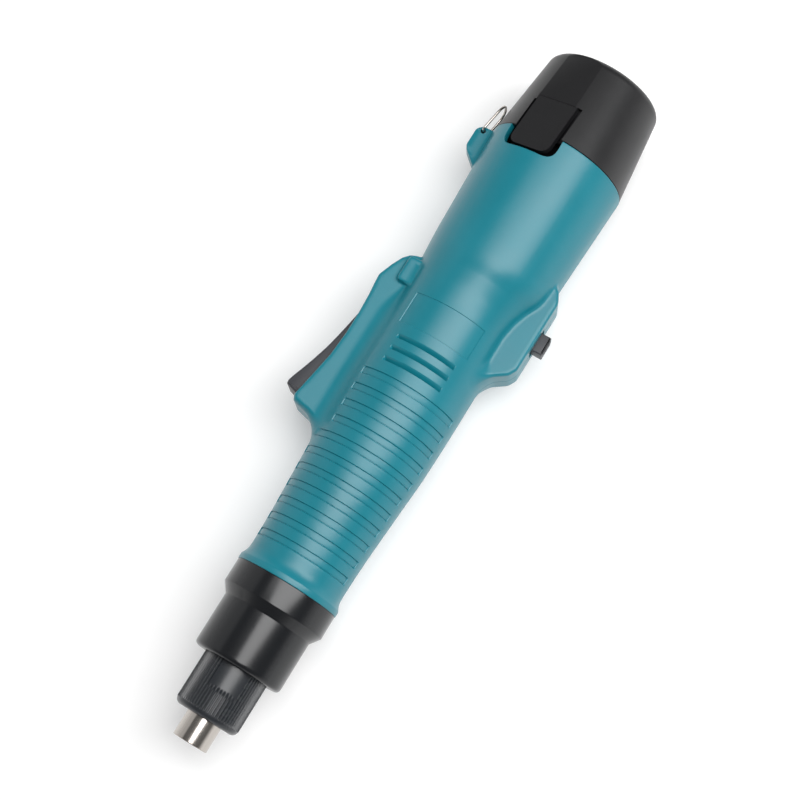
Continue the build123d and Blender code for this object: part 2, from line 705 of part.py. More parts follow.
def rotor():
    x0, x1 = CORE_X
    shaft = rod(STAGE_X[1] + FREE, MOTOR_X[1] + 5.2, SHAFT_R)
    core = rod(x0, x1, CORE_R)
    slots = [Rot(72 * k, 0, 0) * block(x0 - 1, x1 + 1, -0.9, 0.9, CORE_R - 4.6, CORE_R + 1)
             for k in range(5)]
    commutator = rod(x1 + 7, x1 + 13, 4.0)
    sun = gear(SUN_TEETH, STAGE_X[1] + FREE, GEAR_WIDTH, 0.0, 0)
    return shaft + (core - slots) + commutator + sun


def windings():
    x0, x1 = CORE_X
    front = tube(x0 - 4, x0, 7.6, SHAFT_R)
    rear = tube(x1, x1 + 4, 7.6, SHAFT_R)
    return Compound([front, rear])


def start_switch():
    x0, x1 = SWITCH_X
    y0 = SWITCH_TOP - SWITCH_HEIGHT
    body = block(x0, x1, y0, SWITCH_TOP, -3.1, 3.1)
    hole = Pos(FINGER_X, y0 + 1.6, 0) * Rot(-90, 0, 0) * Cylinder(
        PLUNGER_R + RUN, SWITCH_HEIGHT, align=(Align.CENTER, Align.CENTER, Align.MIN))
    legs = [block(x0 + d - 0.4, x0 + d + 0.4, y0 - 2.8, y0 + 0.1, -1.2, 1.2) for d in (1.1, 5.6, 10.1)]
    return body - hole + legs


def switch_plunger():
    low = (Align.CENTER, Align.CENTER, Align.MIN)
    y0 = SWITCH_TOP - SWITCH_HEIGHT + 3.6
    return Pos(FINGER_X, y0, 0) * Rot(-90, 0, 0) * Cylinder(PLUNGER_R, FINGER_Y - FREE - y0, align=low)


def lever_spring():
    floor = POCKET_FLOOR
    turns = 5
    length = LEVER_SPRING_TOP - floor - 0.8
    path = Helix(pitch=length / turns, height=length, radius=2.1)
    section = Plane(origin=path @ 0, z_dir=path % 0) * Circle(0.32)
    return Pos(LEVER_SPRING_X, floor + 0.4, 0) * Rot(-90, 0, 0) * sweep(section, path=path)


def direction_switch():
    x0, x1 = DIR_SWITCH_X
    y0, y1 = DIR_SWITCH_Y
    half = EAR_HALF - WALL - SEAT
    body = block(x0, x1, -y1, -y0, -half, half)
    travel = KNOB_TRAVEL + FREE
    body -= block(KNOB_X[0] + 1 - travel, KNOB_X[1] - 1 + travel, -y1 - 1, -y1 + 2.6, -2, 2)
    legs = [block(x - 0.4, x + 0.4, -y0 - 0.1, -y0 + 3, -1.2, 1.2) for x in (x0 + 3, x0 + 8.5, x0 + 14)]
    return body + legs


def direction_knob():
    x0, x1 = KNOB_X
    y_out = -(EAR_FACE + KNOB_OUT)
    body = block(x0, x1, y_out, -(EAR_FACE - WALL + 0.6), -KNOB_HALF, KNOB_HALF)
    body = fillet(body.faces().sort_by(Axis.Y)[0].edges(), 0.8)
    grooves = []
    for i in range(6):
        x = x0 + (x1 - x0) * (i + 0.5) / 6
        grooves.append(block(x - 0.3, x + 0.3, y_out - 1, y_out + 0.35, -4, 4))
    stem = block(x0 + 1, x1 - 1, -(EAR_FACE - WALL + 0.7), -(DIR_SWITCH_Y[1] - 2.3), -1.7, 1.7)
    return body - grooves + stem


def control_board():
    z = -8.0
    x0, x1 = BOARD_X
    half = math.sqrt((GRIP_R - WALL) ** 2 - z ** 2) - FREE
    board = block(x0, x1, -half, half, z, z + 1.6)
    top = z + 1.5
    parts = [
        rod(x0 + 3, x0 + 15, 3.4, y=-8.5, z=top + 3.2), block(x0 + 18, x0 + 24, 4, 9, top, top + 4.5),
        block(x0 + 26, x0 + 32, -6, 4, top, top + 1.9), block(x0 + 4, x0 + 10, 2, 9, top, top + 1.5),
        block(x0 + 18, x0 + 23, -8, -3, top, top + 2.5),
    ]
    notches = [post(x, y, z - 1, z + 3, HEAD_BOSS_R + FREE) for x, y in SCREW_PLACES]
    return board - notches + parts


BLADE_Y = (-7.5, 0.0, 7.5)


def contact_block():
    x0 = BAY_FRONT + 0.1
    shift = -REAR_SHIFT
    body = rod(x0, BAY_X0, bay_radius(x0) - SEAT, y=shift)
    cuts = [block(x0 - 1, BAY_X0 + 1, y + shift - 3, y + shift + 3, -0.45, 0.45) for y in BLADE_Y]
    cuts += [post(x, y, -30, 30, HEAD_BOSS_R + FREE) for x, y in SCREW_PLACES]
    return body - cuts


def contact_blades():
    shift = -REAR_SHIFT
    x0, x1 = BAY_FRONT - 2.0, STEM_X0 + BLADE_REACH
    return Compound([block(x0, x1, y + shift - 2.8, y + shift + 2.8, -0.4, 0.4) for y in BLADE_Y])


def stem_outline(cell_room):
    """Triangle with round corners about three cells, flat sides where the latch tongues are."""
    outline = RegularPolygon(CELL_RING + cell_room / math.sin(math.radians(30)), 3)
    outline = fillet(outline.vertices(), cell_room)
    at = Plane(origin=(0, -REAR_SHIFT, 0), x_dir=(0, 1, 0), z_dir=(1, 0, 0))
    return at * outline


def stem_bar(x0, x1, cell_room):
    return Pos(x0, 0, 0) * extrude(stem_outline(cell_room), x1 - x0, dir=(1, 0, 0))


def pack_stem():
    room = CELL_R + STEM_WALL - 0.15
    flange_x = SHELL_X1 + 1
    body = stem_bar(STEM_X0, flange_x + 2, room)
    body += rod(flange_x, flange_x + 2, PACK_END_R - 0.9, y=-REAR_SHIFT)
    body -= stem_bar(STEM_X0 + 2.5, flange_x + 3, CELL_R + 0.08)
    slots = [block(STEM_X0 - 1, STEM_X0 + 3, y - REAR_SHIFT - 3.2, y - REAR_SHIFT + 3.2, -1.1, 1.1)
             for y in BLADE_Y]
    return body - slots


def pack_terminals():
    """Two spring leaves beside each blade."""
    leaves = []
    for y in BLADE_Y:
        for side in (-1, 1):
            z0, z1 = sorted((side * 0.6, side * 1.0))
            c = y - REAR_SHIFT
            leaves.append(block(STEM_X0 + 0.4, STEM_X0 + 3.9, c - 2.6, c + 2.6, z0, z1))
    return Compound(leaves)


def pack_board():
    x0 = STEM_X0 + 3.9
    return stem_bar(x0, x0 + 1.4, CELL_R - 0.2)


def cells():
    out = []
    for a in (0, 120, 240):
        y = CELL_RING * math.cos(math.radians(a)) - REAR_SHIFT
        z = CELL_RING * math.sin(math.radians(a))
        can = rod(CELL_X0, CELL_X0 + CELL_LEN, CELL_R - 0.02, y=y, z=z)
        out.append(can)
    return Compound(out)


def pack_cap():
    x0, x1 = SHELL_X1, PACK_X1
    edge_x = x1 - PACK_CORNER
    start, mid, low = (x0, REAR_R1), (x0 + 11.0, REAR_R1 - 0.35), (edge_x, PACK_END_R)
    corner = (x1 - 0.29 * PACK_CORNER, PACK_END_R - 0.29 * PACK_CORNER)
    top = (x1, PACK_END_R - PACK_CORNER)
    edges = [
        Line((x0, 0), start), Line(start, mid), Spline(mid, low, tangents=[(1, -0.06), (1, -0.16)]),
        ThreePointArc(low, corner, top), Line(top, (x1, 0)), Line((x1, 0), (x0, 0)),
    ]
    body = Pos(0, -REAR_SHIFT, 0) * revolve(make_face(edges), Axis.X, 360)
    room = rod(x0 + 2.9, CELL_X0 + CELL_LEN + 2.2, 20.2, y=-REAR_SHIFT)
    room += rod(x0 - 1, x0 + 3.1, PACK_END_R - 0.8, y=-REAR_SHIFT)
    body -= room
    for angle in (TONGUE_ANGLE, 180 - TONGUE_ANGLE):
        width = TONGUE_WIDTH + 2 * NOTCH_GAP
        slot = block(x0 - 1, TONGUE_X[1] + FREE, -width / 2, width / 2, TONGUE_R[0] - 3.0, 32)
        lobe = rod(x0 - 2, TONGUE_X[1] + 1, TONGUE_R[0] - 1.0)
        deep = block(LATCH_PIN_X - 2.2, TONGUE_X[1] + FREE, -9.9, 9.9, LATCH_PIN_H - 2.0, 26)
        pin = Pos(LATCH_PIN_X, 0, LATCH_PIN_H) * Rot(90, 0, 0) * Cylinder(LATCH_PIN_R + 0.02, 23)
        body -= facing(angle) * ((slot - lobe) + deep + pin)
    return body


def latch_tab(angle):
    """Sprung tongue of the battery's catch, with three grip ridges."""
    prism = tongue_prism(TONGUE_WIDTH, TONGUE_X[0], TONGUE_X[1] + 8, 12, 32)
    tongue = prism & block(TONGUE_X[0] - 1, TONGUE_X[1], -20, 20, 10, 40)
    skin = tube(TONGUE_X[0] - 2, TONGUE_X[1] + 2, TONGUE_R[1], TONGUE_R[0])
    body = tongue & skin
    knuckle = block(LATCH_PIN_X - 1.6, TONGUE_X[1], -8.6, 8.6, LATCH_PIN_H - 1.5, TONGUE_R[0] + 0.6)
    body += knuckle & rod(TONGUE_X[0], TONGUE_X[1] + 1, TONGUE_R[1])
    ridges = []
    for i in range(3):
        x = TONGUE_X[0] + 5.0 + 2.5 * i
        ridge = arc_block(x - 0.4, x + 0.4, TONGUE_R[1] - 0.3, TONGUE_R[1] + 0.3, -9, 9)
        ridges.append(ridge)
    body += ridges
    hole = Pos(LATCH_PIN_X, 0, LATCH_PIN_H) * Rot(90, 0, 0) * Cylinder(LATCH_PIN_R + RUN, 23)
    return facing(angle) * (body - hole)


def latch_pins():
    out = []
    for angle in (TONGUE_ANGLE, 180 - TONGUE_ANGLE):
        pin = Pos(LATCH_PIN_X, 0, LATCH_PIN_H) * Rot(90, 0, 0) * Cylinder(LATCH_PIN_R, 21)
        out.append(facing(angle) * pin)
    return Compound(out)


def hang_ring():
    lean = math.radians(RING_LEAN)
    along = Vector(math.cos(lean), -math.sin(lean), 0)
    at = Plane(origin=(RING_X, RING_Y, 0), x_dir=along, z_dir=along.cross(Vector(0, 0, 1)))
    outline = at * (Pos(RING_LENGTH / 2, 0) * RectangleRounded(RING_LENGTH, RING_WIDTH, 1.4))
    wire = outline.wires()[0]
    section = Plane(origin=wire @ 0, z_dir=wire % 0) * Circle(RING_WIRE_R)
    return sweep(section, path=wire, transition=Transition.ROUND)


def housing_screws():
    out = []
    for x, y in SCREW_PLACES:
        seat = SCREW_SEAT_Z - RUN
        head = post(x, y, seat - 1.85, seat, SCREW_HEAD_R) - post(x, y, seat - 2.2, seat - 1.1, 1.1)
        out.append(head + post(x, y, seat - 0.1, 6.5, SCREW_R))
    return Compound(out)


def parts():
    front, back = shells()
    stage2 = planets(STAGE_X[0])
    stage1 = planets(STAGE_X[1])
    named = {
        "upper_shell": front,
        "lower_shell": back,
        "nose_cone": nose_cone(),
        "torque_ring": torque_ring(),
        "thrust_collar": thrust_collar(),
        "clutch_spring": coil(37.9, 9.2, 7.4, 0.6, 5),
        "spring_washer": tube(47.8, 48.8, 9.6, SPINDLE_R + FREE),
        "clutch_housing": clutch_housing(),
        "front_bush": tube(24.2, 30.2, 4.9, SPINDLE_R + RUN),
        "clutch_ring": clutch_ring(),
        "clutch_balls": clutch_balls(),
        "carrier_bearing": tube(56.9, GEARBOX_X[0], CLUTCH_BORE_R - RUN, 7.0 + RUN),
        "spindle": spindle(),
        "bit_balls": bit_balls(),
        "retaining_clip": retaining_clip(),
        "chuck_sleeve": chuck_sleeve(),
        "sleeve_spring": coil(11.45, 6.4, 5.15, 0.28, 5),
        "output_carrier": output_carrier(),
        "middle_carrier": middle_carrier(),
        "ring_gear": ring_gear(),
        "gearbox_plate": gearbox_plate(),
        "motor_can": motor_can(),
        "motor_magnets": motor_magnets(),
        "motor_end_cap": motor_end_cap(),
        "motor_bushes": motor_bushes(),
        "motor_brushes": brushes(),
        "rotor": rotor(),
        "windings": windings(),
        "lever": lever(),
        "lever_pin": post(PIVOT_X, PIVOT_Y, -PIN_HALF, PIN_HALF, PIVOT_PIN_R),
        "lever_spring": lever_spring(),
        "start_switch": start_switch(),
        "switch_plunger": switch_plunger(),
        "direction_switch": direction_switch(),
        "direction_knob": direction_knob(),
        "control_board": control_board(),
        "contact_block": contact_block(),
        "contact_blades": contact_blades(),
        "hang_ring": hang_ring(),
        "housing_screws": housing_screws(),
        "pack_cap": pack_cap(),
        "pack_stem": pack_stem(),
        "cells": cells(),
        "pack_board": pack_board(),
        "pack_terminals": pack_terminals(),
        "latch_tab_front": latch_tab(TONGUE_ANGLE),
        "latch_tab_back": latch_tab(180 - TONGUE_ANGLE),
        "latch_pins": latch_pins(),
    }
    for k in range(PLANET_COUNT):
        named[f"output_planet_{k + 1}"] = stage2[k]
        named[f"motor_planet_{k + 1}"] = stage1[k]
    return named


os.makedirs("parts", exist_ok=True)
for name, solid in parts().items():
    export_step(solid, f"parts/{name}.step")
    print(name, len(solid.solids()), round(solid.volume, 1))
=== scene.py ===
import math

import bpy
import numpy as np
from mathutils import Matrix, Vector


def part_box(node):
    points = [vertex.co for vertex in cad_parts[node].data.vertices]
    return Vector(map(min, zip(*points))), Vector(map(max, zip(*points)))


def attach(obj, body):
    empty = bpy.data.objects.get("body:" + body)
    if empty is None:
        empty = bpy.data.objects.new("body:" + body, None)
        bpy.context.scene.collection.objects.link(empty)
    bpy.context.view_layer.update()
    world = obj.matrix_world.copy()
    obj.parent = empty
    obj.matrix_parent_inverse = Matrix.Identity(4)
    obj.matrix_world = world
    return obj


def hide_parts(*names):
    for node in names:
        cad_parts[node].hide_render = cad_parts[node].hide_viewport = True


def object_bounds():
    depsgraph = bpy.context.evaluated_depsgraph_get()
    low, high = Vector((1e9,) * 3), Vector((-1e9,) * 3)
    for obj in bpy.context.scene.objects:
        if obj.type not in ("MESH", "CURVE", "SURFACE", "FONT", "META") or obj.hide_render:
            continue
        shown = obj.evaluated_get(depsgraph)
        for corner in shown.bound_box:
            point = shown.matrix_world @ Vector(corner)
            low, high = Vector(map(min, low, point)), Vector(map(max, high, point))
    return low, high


# Cordless screwdriver with a start lever. Shapes are in millimetres in the frame's own axes:
# X from the bit mouth to the battery, Y to the lever side, Z out of the front half.
# Angles round the body run from +Z towards +Y.

MM = 0.001

# Casing: the round body, its walls and its seam
NECK_R = 17.66
GRIP_R = 20.3
RIM_R = 18.95
RIM_LEN = 2.0
FLARE_LEN = 4.5
NECK_X1 = 75.0
GRIP_X1 = 134.0
SHOULDER_X = (167.0, 187.5)
SHOULDER = [(167.0, 0), (172.5, 0.11), (179.6, 0.5), (184.4, 0.9), (187.5, 1)]   # share of the swell
REAR_R = (23.2, 25.0)
REAR_SHIFT = 2.2
WALL = 1.9
BAY_FRONT = 183.2
EDGE_ROUND = 0.3
AXIS_R = 0.01            # a turned outline stays this clear of its axis
GRIP_SWELL = [(0, 0.06), (0.42, 0.55), (0.70, 0.90), (1, 1)]    # share of the grip's length, of its rise
SEAM_DEPTH = 0.14
SEAM_HALF = 0.22

# Grip bands, vents and the bare panel
BAND_COUNT = 11
BAND_X0 = 70.7
BAND_PITCH = 6.31
BAND_HALF = 1.2
BAND_DEPTH = 0.3
BAND_LINE = (0.5, 0.25)      # depth and half width of the line along each edge of a band
BAND_ANGLES = (-72.0, 76.0)
GUARD_BAND_END = 48.0    # the bands beside the guard stop before its foot
BAND_STOP = (0.25, 0.3)  # the bands fade out from this far above the round body, over this much
VENT_COUNT = 3
VENT_X0 = 140.2
VENT_PITCH = 4.4
VENT_HALF = 0.95
VENT_ANGLES = (-35.4, 31.2)
VENT_DEPTH = 1.8
VENT_CURVE = 1.3
VENT_END = 0.4           # width of the slope at a vent's two ends
PANEL_X = (153.7, 165.6)
PANEL_ANGLES = (-42.5, 39.5)
PANEL_DEPTH = 0.28
CUT_SLOPE = 0.16        # width of a groove's side wall

# Plates that stand on the casing, as (x, y) or (x, y, corner radius)
GUARD_HALF = 8.0
GUARD_FRONT_X = (110.0, 118.0)      # between these the front's broad edge narrows
GUARD_FOOT_X = (155.0, 170.0)
GUARD_EDGE = 0.9
GUARD_FRONT_EDGE = 3.6
GUARD_FOOT = (4.5, 1.0)     # foot radius beside the grip and behind the pivot
GUARD_OUTLINE = [
    (106.5, 12.0), (109.4, 19.8, 3), (112.6, 25.0), (113.5, 28.8), (114.1, 31.0, 1.2),
    (116.0, 31.7, 1.2), (119.4, 31.0, 3), (134.0, 28.5), (143.2, 27.9, 30), (151.6, 28.0),
    (158.8, 28.4, 20), (163.2, 28.9), (166.8, 29.2, 2.5), (172.2, 27.2), (175.9, 25.4, 2),
    (178.0, 23.5, 1.5), (179.0, 21.3), (179.4, 19.3), (182.5, 12.0),
]
PIVOT_X = (167.6, 177.6)
PIVOT_TOP = 22.9
PIVOT_CORNER = 1.6
PIVOT_EDGE = 1.2
PIVOT_HALF = 10.5
PIVOT_FOOT = 0.5
EAR_HALF = 7.5
EAR_EDGE = 1.25
EAR_FOOT = (5.0, 1.2)       # foot radius at the front end and elsewhere
EAR_FOOT_X = (153.0, 160.0)
EAR_FACE = 28.7
EAR_OUTLINE = [
    (149.0, -12.0), (152.7, -19.2), (158.3, -27.2, 4), (161.2, -28.7, 3), (188.6, -28.9, 4),
    (192.6, -26.9, 3), (195.0, -23.6, 3), (197.5, -12.0),
]
LUG_HALF = 3.0
LUG_EDGE = 0.6
LUG_FOOT = 1.0
LUG_OUTLINE = [
    (215.0, 16.0), (217.3, 21.6), (223.0, 28.0, 1), (224.6, 28.9, 1), (231.6, 28.9, 2.4),
    (233.4, 26.8, 1), (233.4, 16.0),
]

# Where the casing's outside is searched for plates, from outside inwards
PLATE_SHARE = 0.62       # plates lie where the height is under this share of the radius
LEVER_SIDE_X0 = 104.0
SWITCH_SIDE_X = (146.0, 204.0)
SEARCH_R = 41.0
SEARCH_STEP = 0.22
SEARCH_MARGIN = 0.4
HALVINGS = 14

# Mesh of the casing: usual steps, and (start, end, step) where more points are needed
X_STEP = 1.2
ANGLE_STEP = 2.5
CUT_STEP = 0.08
CLOSEST_LINES = 0.04
ANGLE_REACH = 0.75       # degrees each way of a groove's end where the lines lie closer
ANGLE_FINE_STEP = 0.25
PLATE_X = [
    (107.0, 120.0, 0.3), (120.0, 151.0, 0.8), (150.0, 162.0, 0.35), (162.0, 180.0, 0.4),
    (188.0, 201.0, 0.35), (215.0, 225.0, 0.35),
]
PLATE_ANGLES = [(64, 116, 0.5), (-114, -66, 0.5), (89.2, 90.8, 0.2), (-90.8, -89.2, 0.2)]

# Lever and its pocket
LEVER_HALF = 5.5
LEVER_EDGE = 0.8
LEVER_CURVE = [
    (119.4, 36.55), (121.5, 36.1), (124.6, 34.9), (130.2, 33.1), (135.8, 31.5), (141.0, 30.4),
    (147.0, 29.3), (152.9, 28.4), (157.0, 27.6), (162.0, 26.5), (172.0, 24.6),
]
LEVER_UNDER = [
    (172.0, 20.0), (166.0, 22.4), (150.0, 24.0), (120.0, 26.4), (117.5, 27.4, 0.6),
    (116.9, 32.0, 0.6), (118.2, 36.3, 0.8),
]
POCKET_HALF = 5.8
POCKET_OUTLINE = [
    (116.3, 21.0), (116.3, 40.0), (157.5, 40.0), (157.5, 27.9), (167.0, 27.2), (173.5, 25.4),
    (176.0, 22.5), (176.5, 19.5), (166.5, 19.5), (164.5, 21.0),
]

# Direction knob
KNOB_X = (171.0, 178.1)
KNOB_OUT = 4.0
KNOB_HALF = 2.9
KNOB_TRAVEL = 1.3
KNOB_RIBS = 9
KNOB_STEP = 0.35         # height of a rib
KNOB_MARGIN = 0.6
KNOB_CORNER = 1.1
KNOB_EDGE = 0.5
KNOB_ROOT = 27.4         # distance of the knob's inner end from the drive axis
SLOT_GAP = (0.1, 0.25)   # room round the knob along its travel, and across it

# Hang ring
RING_X = 231.5
RING_Y = 26.2
RING_HOLE_R = 0.95
RING_WIRE_R = 0.48
RING_LENGTH = 12.5
RING_WIDTH = 9.9
RING_LEAN = 9.0
RING_CORNERS = (1.5, 5.0)    # corner radius at the lug and at the far end

# Nose, torque ring and bit holder
NOSE_X0 = 28.3
NOSE_R = 16.2
NOSE_STEP_X = 47.4
NOSE_CONE_X = 51.0
NOSE_REAR_R = 18.75
NOSE_BORE_R = 13.9
NOSE_ROUND = 2.2
NOSE_WALL = 2.0
NOSE_TAIL = 6.0
RING_GAP = 0.3           # between the nose and the torque ring
TORQUE_X = (9.1, 29.3)
TORQUE_R = 11.7
TORQUE_RIBS = 60
TORQUE_ROUND = 2.1
TORQUE_DRAFT = 0.1
TORQUE_BORE_R = 9.5
TORQUE_WALL_X = 20.5
RIB_X0 = 11.0
RIB_DEPTH = 0.6
RIB_POINTS = 12
RIB_FLANK = (0.42, 0.78)
TORQUE_PANEL_X0 = 19.0
TORQUE_PANEL_WIDTH = 10.5
TORQUE_PANEL_ANGLE = -10.0
SLEEVE_R = 6.35
SLEEVE_LEN = 15.0
SLEEVE_EDGE = 0.55
SLEEVE_BORES = (5.6, 5.15, 5.7)      # radius at the mouth, in the middle and at the back
SLEEVE_STEPS = (1.8, 11.0)
SLEEVE_GAP = 0.5

# Battery; sizes across a tongue are counted from its middle, towards the lever when positive
SEAM_BACK = 1.2          # the joint with the casing lies this much nearer the nose than the cap's node
PACK_LIP = 0.25
PACK_END_R = 21.9
PACK_CORNER = 3.3
PACK_LEAD = (0.35, 0.1)      # bevel of the cap's rim
PACK_MOUTH_R = 20.4
PACK_BORE_R = 19.6
PACK_FLOOR_X = 262.4
TONGUE_ANGLE = 22.0
TONGUE_X = (226.8, 247.2)
TONGUE_ACROSS = (-8.6, 7.3)
TONGUE_CORNER = 4.5
TONGUE_THICK = 2.0
TONGUE_GAP = 0.15
NOTCH_X = 225.7
NOTCH_ACROSS = (-11.0, 10.2)
SLOTS = [(-10.2, -8.5, 247.4), (7.2, 8.3, 245.6)]     # across, and where each slot ends
FACET_SHARE = 0.95       # height of the flat over each tongue, as a share of the cap's radius
FACET_ACROSS = (-12.0, 7.6)
LATCH_PIN = (246.5, 21.4, 7.0, 0.7)            # x, height, half length, radius
LEVER_PIN = (173.0, 23.0, 7.6, 1.5)            # x, y, half length, radius

# Casing screws: where they stand, then low end, high end and radius
SCREW_PLACES = [(144.5, -14.0), (144.5, 14.0), (161.6, -23.4), (191.6, -24.2), (182.0, 17.6)]
SCREW_SHANK = (-6.3, 6.5, 1.25)
SCREW_HEAD = (-7.5, -6.2, 1.9)

# Camera: the tool runs up the picture at this angle from its upright, seen a little from the nose
LENS = 83.25
CAMERA_TARGET = (133.8, 1.1, 0.0)
CAMERA_DISTANCE = 629.0
CAMERA_TILT = 11.3
CAMERA_SIDE = 10.0
PICTURE_TURN = 32.0

# Studio: each lamp's place in metres, turn in degrees, two sizes and radiance
LAMPS = {
    "key": ((0.36, -0.52, 1.0), (0, 0, PICTURE_TURN - 90), (1.3, 0.66), 5.8),
    "top": ((0.42, 0.17, 1.0), (0, 0, 0), (0.6, 0.5), 1.8),
    "fill": ((0.0, 0.9, 0.5), (-65, 0, 0), (0.9, 0.6), 0.5),
}
SKY_STRENGTH = 0.16      # overhead; it is 1 at the horizon
SKY_HEIGHT = (0.04, 0.35)
FLOOR_GREY = 0.78
FLOOR_GLOW = 0.25
FLOOR_HALF = 3000.0
FLOOR_GAP = 0.2

# Finish, and shapes that only cut
BROAD_GRAIN = 60
CUT_OUT = 40.0           # height at which cutting shapes end, clear of the body
CUT_MIDDLE = 22.0
HALF_CUT = (300.0, 60.0)     # length and half width of the block that takes off the other half

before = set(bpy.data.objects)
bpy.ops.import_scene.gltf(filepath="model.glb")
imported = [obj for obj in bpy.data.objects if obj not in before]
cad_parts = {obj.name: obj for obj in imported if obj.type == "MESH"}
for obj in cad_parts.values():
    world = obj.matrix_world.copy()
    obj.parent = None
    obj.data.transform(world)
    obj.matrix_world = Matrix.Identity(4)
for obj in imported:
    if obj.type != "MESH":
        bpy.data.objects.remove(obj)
cad_low, cad_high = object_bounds()
scene = bpy.context.scene


# Mesh helpers

def mesh_object(name, points, faces):
    """Object of a mesh whose points are in millimetres."""
    mesh = bpy.data.meshes.new(name)
    mesh.from_pydata((np.asarray(points, float) * MM).tolist(), [], faces)
    mesh.update()
    obj = bpy.data.objects.new(name, mesh)
    scene.collection.objects.link(obj)
    return obj


def ring_faces(rings, count, closed):
    """Quads between rings of points; the rings may close on the first one."""
    last = rings if closed else rings - 1
    i = np.arange(last)[:, None]
    j = np.arange(count)[None, :]
    after_i, after_j = (i + 1) % rings, (j + 1) % count
    corners = [i * count + j, after_i * count + j, after_i * count + after_j, i * count + after_j]
    return np.stack(np.broadcast_arrays(*corners), -1).reshape(-1, 4).tolist()


def tube_object(name, grid, capped=True, closed=False):
    """Mesh of rings: grid[i, j] is point j of ring i."""
    rings, count = grid.shape[:2]
    faces = ring_faces(rings, count, closed)
    if capped and not closed:
        faces.append(list(range(count)))
        faces.append(list(range(rings * count - 1, (rings - 1) * count - 1, -1)))
    return mesh_object(name, grid.reshape(-1, 3), faces)


def smooth(obj, angle=35.0):
    obj.data.shade_smooth()
    obj.data.set_sharp_from_angle(angle=math.radians(angle))
    return obj


def combine(obj, tool, operation="DIFFERENCE"):
    """Cut, join or intersect obj with a closed tool mesh, which is then removed."""
    change = obj.modifiers.new("combine", "BOOLEAN")
    change.operation = operation
    change.solver = "MANIFOLD"
    change.object = tool
    graph = bpy.context.evaluated_depsgraph_get()
    made = bpy.data.meshes.new_from_object(obj.evaluated_get(graph))
    obj.modifiers.clear()
    old, obj.data = obj.data, made
    bpy.data.meshes.remove(old)
    bpy.data.objects.remove(tool)
    return obj


def rounded_outline(points, steps=6):
    """Closed outline with its corners rounded by their third value, where they have one."""
    out = []
    count = len(points)
    for i, corner in enumerate(points):
        here = np.array(corner[:2], float)
        if len(corner) < 3:
            out.append(here)
            continue
        back = np.array(points[i - 1][:2], float) - here
        ahead = np.array(points[(i + 1) % count][:2], float) - here
        back_len, ahead_len = np.linalg.norm(back), np.linalg.norm(ahead)
        back, ahead = back / back_len, ahead / ahead_len
        half = math.acos(np.clip(back @ ahead, -1, 1)) / 2
        reach = min(corner[2] / math.tan(half), 0.48 * back_len, 0.48 * ahead_len)
        start, end = here + back * reach, here + ahead * reach
        for k in range(steps + 1):
            t = k / steps
            out.append((1 - t) ** 2 * start + 2 * t * (1 - t) * here + t ** 2 * end)
    return np.array(out)


def lathe(name, profile, segments=192, centre_y=0.0):
    """Turned solid of a closed (x, radius) outline that stays clear of its axis."""
    outline = rounded_outline(profile)
    angles = np.linspace(0, 2 * math.pi, segments, endpoint=False)
    x = np.broadcast_to(outline[:, 0], (segments, len(outline)))
    y = centre_y + np.outer(np.sin(angles), outline[:, 1])
    z = np.outer(np.cos(angles), outline[:, 1])
    obj = tube_object(name, np.stack([x, y, z], -1), closed=True)
    return outward(obj)


def outward(obj):
    """Turn the faces of a closed mesh to the outside."""
    mesh = obj.data
    mesh.calc_loop_triangles()
    co = np.zeros(len(mesh.vertices) * 3)
    mesh.vertices.foreach_get("co", co)
    co = co.reshape(-1, 3)
    tri = np.zeros(len(mesh.loop_triangles) * 3, int)
    mesh.loop_triangles.foreach_get("vertices", tri)
    a, b, c = co[tri.reshape(-1, 3)].transpose(1, 0, 2)
    if np.einsum("ij,ij->", a, np.cross(b, c)) < 0:
        mesh.flip_normals()
    return obj


def plate(name, outline, half, edge=0.0, steps=4):
    """Plate of an (x, y) outline, z from -half to half, with its two rims rounded by edge."""
    points = rounded_outline(outline)
    area = np.sum(points[:, 0] * np.roll(points[:, 1], -1) - np.roll(points[:, 0], -1) * points[:, 1])
    if area < 0:
        points = points[::-1]
    ahead = np.roll(points, -1, 0) - points
    ahead /= np.linalg.norm(ahead, axis=1)[:, None]
    back = np.roll(ahead, 1, 0)
    inward = np.stack([-(ahead + back)[:, 1], (ahead + back)[:, 0]], -1)
    inward /= np.maximum(1.0, np.linalg.norm(inward, axis=1))[:, None]
    turns = np.linspace(0, math.pi / 2, steps + 1) if edge else [0.0]
    rims = [(edge * (1 - math.cos(t)), half - edge + edge * math.sin(t)) for t in turns]
    rims = [(inset, -z) for inset, z in reversed(rims)] + rims
    grid = [np.column_stack([points + inward * inset, np.full(len(points), z)]) for inset, z in rims]
    return outward(tube_object(name, np.array(grid)))


def rod_z(name, x, y, z0, z1, radius, segments=32):
    """Round rod along Z."""
    angles = np.linspace(0, 2 * math.pi, segments, endpoint=False)
    ring = np.stack([x + radius * np.cos(angles), y + radius * np.sin(angles)], -1)
    grid = [np.column_stack([ring, np.full(segments, z)]) for z in (z0, z1)]
    return outward(tube_object(name, np.array(grid)))


def prism(name, stations):
    """Four-sided bar along X; each station is (x, (y0, y1), (z0, z1))."""
    grid = [[(x, y0, z0), (x, y1, z0), (x, y1, z1), (x, y0, z1)] for x, (y0, y1), (z0, z1) in stations]
    return outward(tube_object(name, np.array(grid, float)))


def box_object(name, x, y, z):
    """Box between two values of each axis."""
    return prism(name, [(end, y, z) for end in x])


